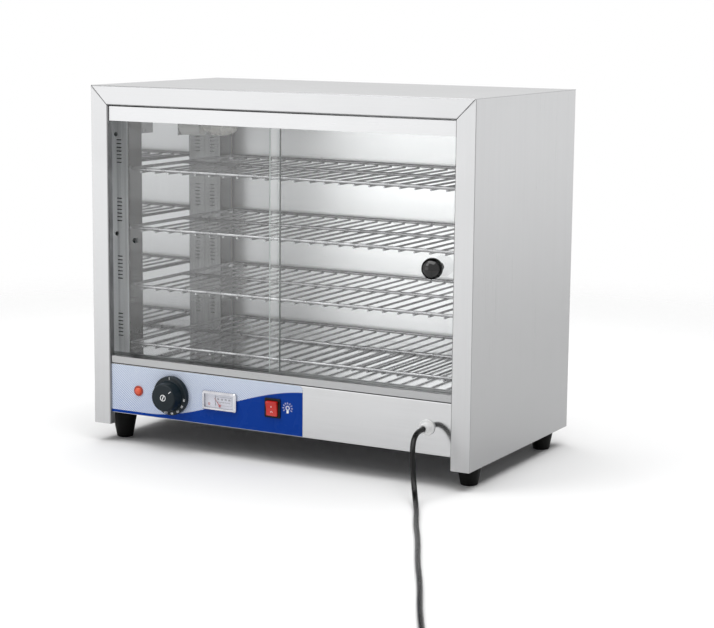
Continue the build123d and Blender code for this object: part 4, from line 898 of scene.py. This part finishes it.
def clock_place(centre, y, radius, turn):
    """The point at depth y and this many millimetres from centre, turned clockwise from the top."""
    angle = math.radians(turn)
    across, up = radius * MM * math.sin(angle), radius * MM * math.cos(angle)
    return Vector((centre.x + across, y, centre.z + up))


# Pieces

def make_post_slot_shade():
    """Rows of flat black marks on the corner posts' front legs, above each shelf: painted shade where the
    adjusting slots' openings show dark; no slot is cut.
    """
    slot, pitch, rows, from_side = bar_outline(8.0, 1.3), 5.2, 7, 13.0
    for place in ("front", "rear"):
        marks = []
        for side in ("left", "right"):
            low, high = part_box(f"{place}_{side}_post")
            x = low.x + from_side * MM if side == "left" else high.x - from_side * MM
            for level in range(1, 5):
                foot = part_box(f"wire_shelf_{level}")[1].z
                for n in range(rows):
                    z = foot + (n + 1) * pitch * MM
                    marks.append(flat_shape(slot, Vector((x, low.y - PRINT_T / 2, z))))
        # Flat black marks: painted shade for the slots' openings
        piece_from_bmesh(f"{place}_post_slot_shade", join_meshes(marks), "bezel_black", "root")


def make_feet():
    """Tapered rubber feet with softened edges, and a well for the screw."""
    base_r, well_r, screw_r, web_t, steps = 11.5, 6.0, 2.8, 6.0, 8
    base_edge = [(base_r - 1.5, 0), (base_r - 0.6, 0.4)]
    side_foot, top_edge = 1.5, 0.8
    for end in ("front_left", "front_right", "rear_left", "rear_right"):
        node = "foot_" + end
        size, centre = span(node), middle(node)
        top_r, shoulder = size.x / 2, size.z - web_t
        profile = [(well_r, shoulder), (well_r, 0.6), (well_r + 0.6, 0), *base_edge]
        for n in range(steps + 1):
            share = n / steps
            height = side_foot + (shoulder - side_foot) * share
            profile.append((base_r + (top_r - base_r) * share, height))
        profile += [(top_r, size.z - top_edge), (top_r - top_edge, size.z)]
        profile += [(screw_r, size.z), (screw_r, shoulder)]
        mesh = closed_turned(profile, Matrix.Translation((centre.x, centre.y, 0)), 48)
        piece_from_bmesh("rubber_" + node, mesh, "rubber_black", "root", [node], 40)


def make_knob():
    """The black ball that the right pane is pulled by, on its short collar."""
    size = span("door_knob")
    radius = size.x / 2
    bore_r, bore_l, collar_r, edge = 2.6, 11.0, 6.5, 0.4
    join_angle = math.degrees(math.acos(collar_r / radius))
    profile = [(0, bore_l), (bore_r, bore_l), (bore_r, 0), (collar_r - edge, 0), (collar_r, edge)]
    profile += arc_points(0, size.y - radius, radius, -join_angle, 89.5, 28)
    profile.append((0, size.y))
    mesh = turned(profile, facing_viewer("door_knob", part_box("door_knob")[1].y), 64)
    piece_from_bmesh("ball_knob", mesh, "black_gloss", "right_door", ["door_knob"], 50)


def make_dial():
    """The thermostat dial, with its scale, the pointer on its cap and the slotted mark in its middle."""
    low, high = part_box("thermostat_dial")
    tall = span("thermostat_dial").y
    skirt_r, skirt_t, cap_r, cap_top_r, wall = 27.0, 7.0, 21.0, 19.0, 2.0
    shaft_r, boss_r, boss_end = 3.1, 6.0, 4.5
    skirt_round, root_round, cap_round = 1.5, 0.7, 2.2
    inside = tall - wall
    profile = [(0, inside), (shaft_r, inside), (shaft_r, boss_end), (boss_r, boss_end), (boss_r, inside)]
    profile += [(cap_top_r - wall, inside), (cap_r - wall, skirt_t - wall), (skirt_r - wall, skirt_t - wall)]
    profile += [(skirt_r - wall, 0), (skirt_r - 0.3, 0), (skirt_r, 0.3)]
    profile += arc_points(skirt_r - skirt_round, skirt_t - skirt_round, skirt_round, 0, 90, 6)
    profile += arc_points(cap_r + root_round, skirt_t + root_round, root_round, 270, 180, 4)
    profile += arc_points(cap_top_r - cap_round, tall - cap_round, cap_round, 8, 90, 8)
    profile += [(3.6, tall), (0, tall)]
    mesh = turned(profile, facing_viewer("thermostat_dial", high.y), 96)
    piece_from_bmesh("dial_moulding", mesh, "dial_black", "dial", ["thermostat_dial"], 30)
    centre = middle("thermostat_dial")
    cap_y = low.y - PRINT_T / 2
    skirt_y = high.y - skirt_t * MM - PRINT_T / 2
    number_r, number_size, index_r = 24.0, 4.0, 24.2
    pointer_r, pointer_turn, slot_turn = 14.0, 52, 24
    marks = []
    for turn, words in ((98, "30"), (122, "50"), (146, "70"), (170, "90"), (194, "110")):
        marks.append(flat_text(words, number_size, clock_place(centre, skirt_y, number_r, turn), turn))
    marks.append(flat_shape(bar_outline(0.9, 3.6), clock_place(centre, skirt_y, index_r, 0)))
    pointer = clock_place(centre, cap_y, pointer_r, pointer_turn)
    marks.append(flat_shape(bar_outline(1.0, 4.4), pointer, pointer_turn))
    cap_centre = clock_place(centre, cap_y, 0, 0)
    marks.append(flat_ring(4.5, 3.5, cap_centre))
    marks.append(flat_shape(bar_outline(1.3, 6.2), cap_centre, slot_turn))
    piece_from_bmesh("dial_print", join_meshes(marks), "white_print", "dial")


def make_indicator():
    """The heating light: a dark rim and a ribbed dome."""
    film_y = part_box("panel_film")[0].y
    place = facing_viewer("indicator_lamp", film_y)
    back = -(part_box("indicator_lamp")[1].y - film_y) / MM
    body_r, rim_r, rim_round, seat_r, seat = 6.0, 7.3, 0.7, 5.0, -2
    profile = [(0, back), (body_r - 0.6, back), (body_r, back + 0.6), (body_r, 0), (rim_r - 0.3, 0)]
    profile += [(rim_r, 0.3), *arc_points(rim_r - rim_round, 0.9, rim_round, 0, 90, 5)]
    profile += [(seat_r + 0.4, 1.6), (seat_r, 1.2), (seat_r, seat), (0, seat)]
    rim = turned(profile, place, 48)
    piece_from_bmesh("indicator_rim", rim, "lamp_rim", "root", ["indicator_lamp"])
    lens_r, lens_foot, spring, rise, ripple, steps = 4.9, -1.9, 1.5, 2.4, 0.12, 12
    dome = [(0, lens_foot), (lens_r, lens_foot), (lens_r, spring)]
    for n in range(1, steps):
        angle = math.radians(90 * n / steps)
        height = spring + rise * math.sin(angle) - ripple * (n % 2)
        dome.append((lens_r * math.cos(angle), height))
    dome.append((0, 4.0))
    lens = turned(dome, place, 48)
    piece_from_bmesh("indicator_dome", lens, "lamp_red", "root", ["indicator_lens"], 60)


def make_gauge_print():
    """The thermometer's printed scale: a divider, a box with numbers, and a row of small ticks."""
    centre = middle("thermometer_face")
    face_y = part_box("thermometer_face")[0].y - PRINT_T / 2
    width = span("thermometer_face").x
    line_t, box_x, box_w, box_h = 0.25, 6.0, 26.0, 11.5
    number_size, number_z, row_z, row_l = 3.2, 2.4, -1.2, 20.0
    tick_pitch, ticks, long_tick, short_tick = 1.6, 13, 1.8, 1.1
    drop_x, drop_z = -width / 2 + 6.0, -5.0

    def at(x, z):
        return Vector((centre.x + x * MM, face_y, centre.z + z * MM))

    marks = [flat_shape(bar_outline(0.5, 15.0), at(width * (0.34 - 0.5), 0))]
    for z in (-box_h / 2, box_h / 2):
        marks.append(flat_shape(bar_outline(box_w, line_t), at(box_x, z)))
    for x in (-box_w / 2, box_w / 2):
        marks.append(flat_shape(bar_outline(line_t, box_h), at(box_x + x, 0)))
    for x, words in ((-9, "30"), (-3, "50"), (3, "70"), (9, "90")):
        marks.append(flat_text(words, number_size, at(box_x + x, number_z)))
    marks.append(flat_shape(bar_outline(row_l, 0.3), at(box_x, row_z)))
    first_tick = box_x - tick_pitch * (ticks - 1) / 2
    for n in range(ticks):
        tall = long_tick if n % 3 == 0 else short_tick
        spot = at(first_tick + tick_pitch * n, row_z - tall / 2)
        marks.append(flat_shape(bar_outline(line_t, tall), spot))
    piece_from_bmesh("gauge_print", join_meshes(marks), "grey_print", "root")
    drop = flat_ring(1.7, 0.9, at(drop_x, drop_z), 24)
    piece_from_bmesh("gauge_mark", drop, "needle_red", "root")


def make_needle():
    """A thin tapered needle on a small hub, with the pin that it swings on."""
    low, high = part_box("thermometer_needle")
    pivot = joint_place("needle_swing")
    thick, reach, skin, pin_r, hub_r = 0.4, 13.2, 0.05, 0.55, 1.9
    back = low.y + thick * MM
    pin_end = -(high.y - back) / MM
    lean = Matrix.Rotation(math.radians(NEEDLE_REST), 4, "Y")
    place = Matrix.Translation((pivot.x, back, pivot.z)) @ lean @ TOWARDS_VIEWER
    blade = [(-0.55, 0.8), (0.55, 0.8), (0.15, reach), (-0.15, reach)]
    hub = [(0, pin_end), (pin_r, pin_end), (pin_r, 0), (hub_r - 0.2, 0), (hub_r, 0.1)]
    hub += [(hub_r, thick - 0.1), (hub_r - 0.3, thick), (0, thick)]
    parts = [lofted([(blade, skin), (blade, thick - skin)], place), turned(hub, place, 24)]
    mesh = join_meshes(parts)
    piece_from_bmesh("gauge_needle", mesh, "needle_red", "needle", ["thermometer_needle"])


def make_rocker():
    """The red rocker, bevelled and dished, with its two marks; it stands with its top out."""
    half_w, half_h, front_y, dish = 8.2, 9.3, -6.6, 1.2
    steps, bevel = 12, 0.45
    tilt = Matrix.Rotation(math.radians(ROCKER_REST), 4, "X")
    place = Matrix.Translation(joint_place("rocker_tilt")) @ tilt

    def face_y(z):
        return front_y + dish * (1 - (z / half_h) ** 2)

    outline = [(front_y, half_h), (-5.9, 9.7), (0, 9.8), (3.0, 7.5)]
    outline += [(y, -z) for y, z in reversed(outline)]
    for n in range(1, steps):
        z = half_h * (2 * n / steps - 1)
        outline.append((face_y(z), z))
    mesh = bmesh.new()
    left, right = [[mesh.verts.new(place @ mm(x, y, z)) for y, z in outline] for x in (-half_w, half_w)]
    for n, following in enumerate([*range(1, len(outline)), 0]):
        mesh.faces.new((left[n], left[following], right[following], right[n]))
    mesh.faces.new(left)
    mesh.faces.new(right)
    rims = [edge for edge in mesh.edges if any(len(face.verts) > 4 for face in edge.link_faces)]
    bmesh.ops.bevel(mesh, geom=rims, offset=bevel * MM, segments=2, affect="EDGES", clamp_overlap=True)
    piece_from_bmesh("rocker_moulding", mesh, "rocker_red", "rocker", ["switch_rocker"], 35)
    on_mark = flat_shape(bar_outline(0.8, 3.0), (0, 0, 0))
    off_mark = flat_ring(1.7, 1.1, (0, 0, 0), 32)
    for mark, z in ((on_mark, 3.6), (off_mark, -4.6)):
        slope = Matrix.Rotation(-math.atan(2 * dish * z / half_h**2), 4, "X")
        mark.transform(Matrix.Translation(place @ mm(0, face_y(z) - 0.06, z)) @ tilt @ slope)
    marks = join_meshes([on_mark, off_mark])
    piece_from_bmesh("rocker_print", marks, "white_print", "rocker")


def make_lamp_sign():
    """The lamp sign beside the switch: a round bulb on its cap, with rays."""
    film_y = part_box("panel_film")[0].y - PRINT_T / 2
    switch = middle("switch_housing")
    centre = Vector((switch.x, film_y, switch.z)) + mm(22.8, 0, 2.2)
    cap = flat_shape(rounded_outline(3.6, 4.4, 1.4), centre + mm(0, 0, -5.0))
    sign = join_meshes([flat_ring(3.1, 2.0, centre), cap])
    piece_from_bmesh("lamp_sign", sign, "white_print", "root")
    rays, ray_r, ray_l, ray_t, last_turn = 9, 6.6, 2.6, 0.7, 122
    values = {
        "Count": rays,
        "Radius": ray_r * MM,
        "Length": ray_l * MM,
        "Thick": ray_t * MM,
        "Depth": PRINT_T,
        "From": math.radians(-last_turn),
        "Step": math.radians(2 * last_turn / (rays - 1)),
        "Centre": centre,
        "Material": MATERIALS["white_print"],
    }
    mesh = grown("lamp_sign_rays", spoke_tree(), values)
    piece_from_bmesh("lamp_sign_rays", mesh, "white_print", "root")


def make_bulb():
    """The chamber lamp, a small appliance bulb with a drawn neck."""
    low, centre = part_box("lamp_bulb")[0], middle("lamp_bulb")
    place = Matrix.Translation((low.x, centre.y, centre.z)) @ Matrix.Rotation(math.radians(90), 4, "Y")
    size = span("lamp_bulb")
    length, bulb_r = size.x, size.z / 2
    neck_r, neck_l, swell_l, dome_from = 7.0, 19, 18, 41
    profile = [(0, 0), (neck_r - 0.5, 0), (neck_r, 0.5), (neck_r, neck_l)]
    for n in range(1, 11):
        share = n / 10
        ease = share * share * (3 - 2 * share)
        profile.append((neck_r + (bulb_r - neck_r) * ease, neck_l + swell_l * share))
    profile.append((bulb_r, dome_from))
    for n in range(1, 12):
        angle = math.radians(90 * n / 12)
        height = dome_from + (length - dome_from) * math.sin(angle)
        profile.append((bulb_r * math.cos(angle), height))
    profile.append((0, length))
    mesh = turned(profile, place, 48)
    piece_from_bmesh("bulb_glass", mesh, "pearl_glass", "root", ["lamp_bulb"], 60)


def make_gland():
    """The white strain relief: a rounded flange and a tapered, ribbed sleeve that grips the lead."""
    low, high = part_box("cable_gland")
    panel_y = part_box("control_panel")[0].y
    back, mouth = -(high.y - panel_y) / MM, (panel_y - low.y) / MM
    bore, body_r, flange_r = CORD_D / 2 / MM + 0.15, 7.0, span("cable_gland").x / 2
    flange_round, flange_t, rib_pitch, taper, groove = 1.1, 3.0, 2.1, 0.3, 0.5
    profile = [(bore, back), (body_r - 0.4, back), (body_r, back + 0.4), (body_r, 0)]
    profile += [(flange_r - 0.3, 0), (flange_r, 0.3)]
    profile += arc_points(flange_r - flange_round, flange_t - flange_round, flange_round, 0, 90, 5)
    profile.append((8.0, flange_t))
    for n in range(4):
        start, rib_r = flange_t + 0.2 + n * rib_pitch, body_r - n * taper
        profile += [(rib_r, start), (rib_r, start + 1.2)]
        profile += [(rib_r - groove, start + 1.4), (rib_r - groove, start + 1.9)]
    profile += [(6.0, mouth - 0.5), (5.5, mouth), (bore + 0.4, mouth), (bore, mouth - 0.5)]
    mesh = closed_turned(profile, facing_viewer("cable_gland", panel_y), 64)
    return piece_from_bmesh("strain_relief", mesh, "white_plastic", "root", ["cable_gland"])


def coil_place(points):
    """Turns and moves the coil so that it carries on from the cord."""
    before, entry = points[-2:]
    turn = math.atan2(entry.x - before.x, before.y - entry.y)
    start = Matrix.Translation((-COIL_R, -COIL_LEAD, 0))
    return Matrix.Translation(entry) @ Matrix.Rotation(turn, 4, "Z") @ start


def coil_ends():
    """Ends of the coil's half turns: place along its own X, and height."""
    radius, side = COIL_R, 1
    ends = [(COIL_R, 0.0)]
    layers = ((0.0, -COIL_STEP / 2, COIL_TURNS_IN), (COIL_LIFT, COIL_STEP / 2, COIL_TURNS_OUT))
    for height, growth, half_turns in layers:
        if height:
            side = -side
            ends.append((side * radius, height))
        for _ in range(half_turns):
            radius += growth
            side = -side
            ends.append((side * radius, height))
    return ends


def coil_points():
    """Control points of the coil's turns, set out a little so that the smooth line has their radius."""
    points = []
    ends = coil_ends()
    step = math.pi / POINTS_PER_HALF_TURN
    stretch = 1 / math.cos(step / 2)
    heading = -1
    for (x0, z0), (x1, z1) in zip(ends, ends[1:]):
        centre, radius = (x0 + x1) / 2, (x0 - x1) / 2
        for n in range(POINTS_PER_HALF_TURN):
            share = (n + 0.5) / POINTS_PER_HALF_TURN
            angle = math.pi * share
            x = centre + radius * stretch * math.cos(angle)
            y = heading * abs(radius) * stretch * math.sin(angle)
            points.append(Vector((x, y, z0 + (z1 - z0) * share)))
        heading = -heading
    return points, Vector((ends[-1][0], 0, ends[-1][1])), heading


def make_cord():
    """The mains lead: its route to the floor and away, then its coil, on one smooth line."""
    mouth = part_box("cable_gland")[0].y
    gland = middle("cable_gland")
    exit_point = Vector((gland.x, mouth, gland.z))
    route = [exit_point]
    for x, y, z in CORD_ROUTE:
        height = CORD_FLOOR if z is None else gland.z + z
        route.append(Vector((gland.x + x, mouth + y, height)))
    place = coil_place(route)
    turns, end, heading = coil_points()
    tail = end + Vector((0, heading * COIL_LEAD, 0))
    line = route + [place @ point for point in turns] + [place @ end, place @ tail]
    curve = bpy.data.curves.new("mains_lead", "CURVE")
    curve.dimensions = "3D"
    spline = curve.splines.new("NURBS")
    spline.points.add(len(line) - 1)
    for point, spot in zip(spline.points, line):
        point.co = (*spot, 1)
    spline.order_u = 3
    spline.use_endpoint_u = True
    spline.resolution_u = 6
    curve.bevel_depth = CORD_D / 2
    curve.bevel_resolution = 5
    curve.use_fill_caps = True
    curve.materials.append(MATERIALS["cord_black"])
    lead = bpy.data.objects.new("mains_lead", curve)
    COLLECTION.objects.link(lead)
    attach(lead, "root")
    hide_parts("power_cord", "cord_coil")
    plug = make_plug(place @ Matrix.Translation(tail), heading)
    gland_piece = make_gland()


def make_plug(place, heading):
    """A moulded plug: a ribbed tapered neck, and a body with a waist to hold it by."""
    along = Matrix.Rotation(math.radians(90 if heading < 0 else -90), 4, "X")
    ribs, rib_pitch, groove = 6, 2.5, 1.3
    sections = [(rounded_outline(8.2, 8.2, 4.0), 0)]
    for n in range(ribs):
        start, rib = 0.4 + n * rib_pitch, 8.4 + n * 0.32
        ring = ((rib, 0), (rib, 1.4), (rib - groove, 1.6), (rib - groove, 2.3))
        for width, distance in ring:
            sections.append((rounded_outline(width, width, width / 2 - 0.1), start + distance))
    for distance, width, thick, corner in PLUG_SECTIONS:
        sections.append((rounded_outline(width, thick, corner), distance))
    mesh = lofted(sections, place @ along)
    return piece_from_bmesh("plug_moulding", mesh, "cord_black", "root", ["plug_body"], 40)


def make_casing_screws():
    """Screws down both edges of the back panel: domed heads, each with a round pit where a cross-head's
    cross is.
    """
    low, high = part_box("casing_screws")
    head_r, head_t, shank_r, shank_l, rows = 3.5, 1.8, 1.7, 4, 4
    inset = head_r * MM
    backwards = Matrix.Rotation(math.radians(-90), 4, "X")
    profile = [(0, -shank_l), (shank_r, -shank_l), (shank_r, 0), (head_r, 0), (head_r, 0.6)]
    profile += [(3.3, 1.1), (2.8, 1.5), (2.0, 1.75), (1.0, head_t), (0.9, 1.1), (0, 0.9)]
    screws = []
    for x in (low.x + inset, high.x - inset):
        for row in range(rows):
            z = low.z + inset + (high.z - low.z - 2 * inset) * row / (rows - 1)
            place = Matrix.Translation((x, high.y - head_t * MM, z)) @ backwards
            screws.append(turned(profile, place, 24))
    mesh = join_meshes(screws)
    piece_from_bmesh("cross_head_screws", mesh, "screw_steel", "root", ["casing_screws"], 40)


# Studio

def bare_material(name):
    """A material with an empty tree."""
    material = bpy.data.materials.new(name)
    material.use_nodes = True
    material.node_tree.nodes.clear()
    return material, material.node_tree


def flat_sheet(name, material, half, place=Matrix()):
    """A flat square of the studio, half is half its side."""
    mesh = bmesh.new()
    bmesh.ops.create_grid(mesh, x_segments=1, y_segments=1, size=half)
    mesh.transform(place)
    data = bpy.data.meshes.new(name)
    mesh.to_mesh(data)
    mesh.free()
    data.materials.append(material)
    sheet = bpy.data.objects.new(name, data)
    COLLECTION.objects.link(sheet)
    return sheet


def aimed(place, towards, axis):
    """At place, with this axis towards a point."""
    turn = (Vector(towards) - Vector(place)).to_track_quat(axis, "Y").to_matrix().to_4x4()
    return Matrix.Translation(place) @ turn


def make_floor():
    """A pale floor that fades into the white ground well away from the object."""
    fade_from, fade_to, half = 0.95, 1.75, 3.0
    material, tree = bare_material("studio_floor")
    x, y, _ = object_place(tree)
    square = calc(tree, "MULTIPLY_ADD", x, x, calc(tree, "MULTIPLY", y, y))
    fade = ramp(tree, calc(tree, "SQRT", square), fade_from, fade_to)
    ground = add(tree, "ShaderNodeTexCoord").outputs["Object"]
    cloud = add(tree, "ShaderNodeTexNoise", {"Vector": ground, "Scale": 0.5})
    tint = blend(tree, cloud.outputs[0], (0.93, 0.93, 0.93), (0.95, 0.95, 0.95))
    diffuse = add(tree, "ShaderNodeBsdfDiffuse", {"Color": tint})
    clear = add(tree, "ShaderNodeBsdfTransparent")
    mixed = add(tree, "ShaderNodeMixShader", {0: fade, 1: diffuse.outputs[0], 2: clear.outputs[0]})
    add(tree, "ShaderNodeOutputMaterial", {"Surface": mixed.outputs[0]})
    floor = flat_sheet("studio_floor", material, half)


def make_card(name, place, towards, size, glow):
    """A glowing card that only reflections show, as a photographer sets one in front of bright metal."""
    material, tree = bare_material(name)
    light = add(tree, "ShaderNodeEmission", {"Color": (1, 1, 1, 1), "Strength": glow})
    add(tree, "ShaderNodeOutputMaterial", {"Surface": light.outputs[0]})
    scaled = aimed(place, towards, "Z") @ Matrix.Diagonal((*size, 1, 1))
    card = flat_sheet(name, material, 0.5, scaled)
    card.visible_camera = False
    card.visible_diffuse = False
    card.visible_shadow = False


def make_lamp(name, place, towards, size, power):
    """A softbox, its size in metres and its power in watts."""
    data = bpy.data.lights.new(name, "AREA")
    data.shape = "RECTANGLE"
    data.size, data.size_y = size
    data.energy = power
    lamp = bpy.data.objects.new(name, data)
    COLLECTION.objects.link(lamp)
    lamp.matrix_world = aimed(place, towards, "-Z")
    lamp.visible_camera = False


def make_world():
    """Soft light all round, and a white ground behind for the camera and in reflections."""
    world = bpy.data.worlds.new("studio")
    bpy.context.scene.world = world
    world.use_nodes = True
    tree = world.node_tree
    tree.nodes.clear()
    path = add(tree, "ShaderNodeLightPath").outputs
    through = calc(tree, "MAXIMUM", path["Is Glossy Ray"], path["Is Transmission Ray"])
    seen = calc(tree, "MAXIMUM", path["Is Camera Ray"], through)
    strength = between(tree, seen, AMBIENT, 1.0)
    ground = add(tree, "ShaderNodeBackground", {"Color": (1, 1, 1, 1), "Strength": strength})
    add(tree, "ShaderNodeOutputWorld", {"Surface": ground.outputs[0]})


def make_studio():
    """The floor, the white surroundings, a key light from the left and a broad one from above."""
    make_floor()
    make_world()
    target = (0, 0, 0.25)
    make_lamp("key_softbox", (-1.4, -1.8, 2.1), target, (1.6, 1.2), 16)
    make_card("front_card", (-1.25, -2.10, 0.45), target, (1.9, 1.3), 2.0)
    make_lamp("top_softbox", (0.1, 0.0, 2.5), target, (3.0, 3.0), 84)


make_camera()
make_cord()
finish_nodes()
make_shelves()
make_post_slot_shade()
make_feet()
make_knob()
make_dial()
make_indicator()
make_gauge_print()
make_needle()
make_rocker()
make_lamp_sign()
make_bulb()
make_casing_screws()
make_studio()
bpy.context.scene.view_settings.view_transform = "Standard"

bpy.context.view_layer.update()
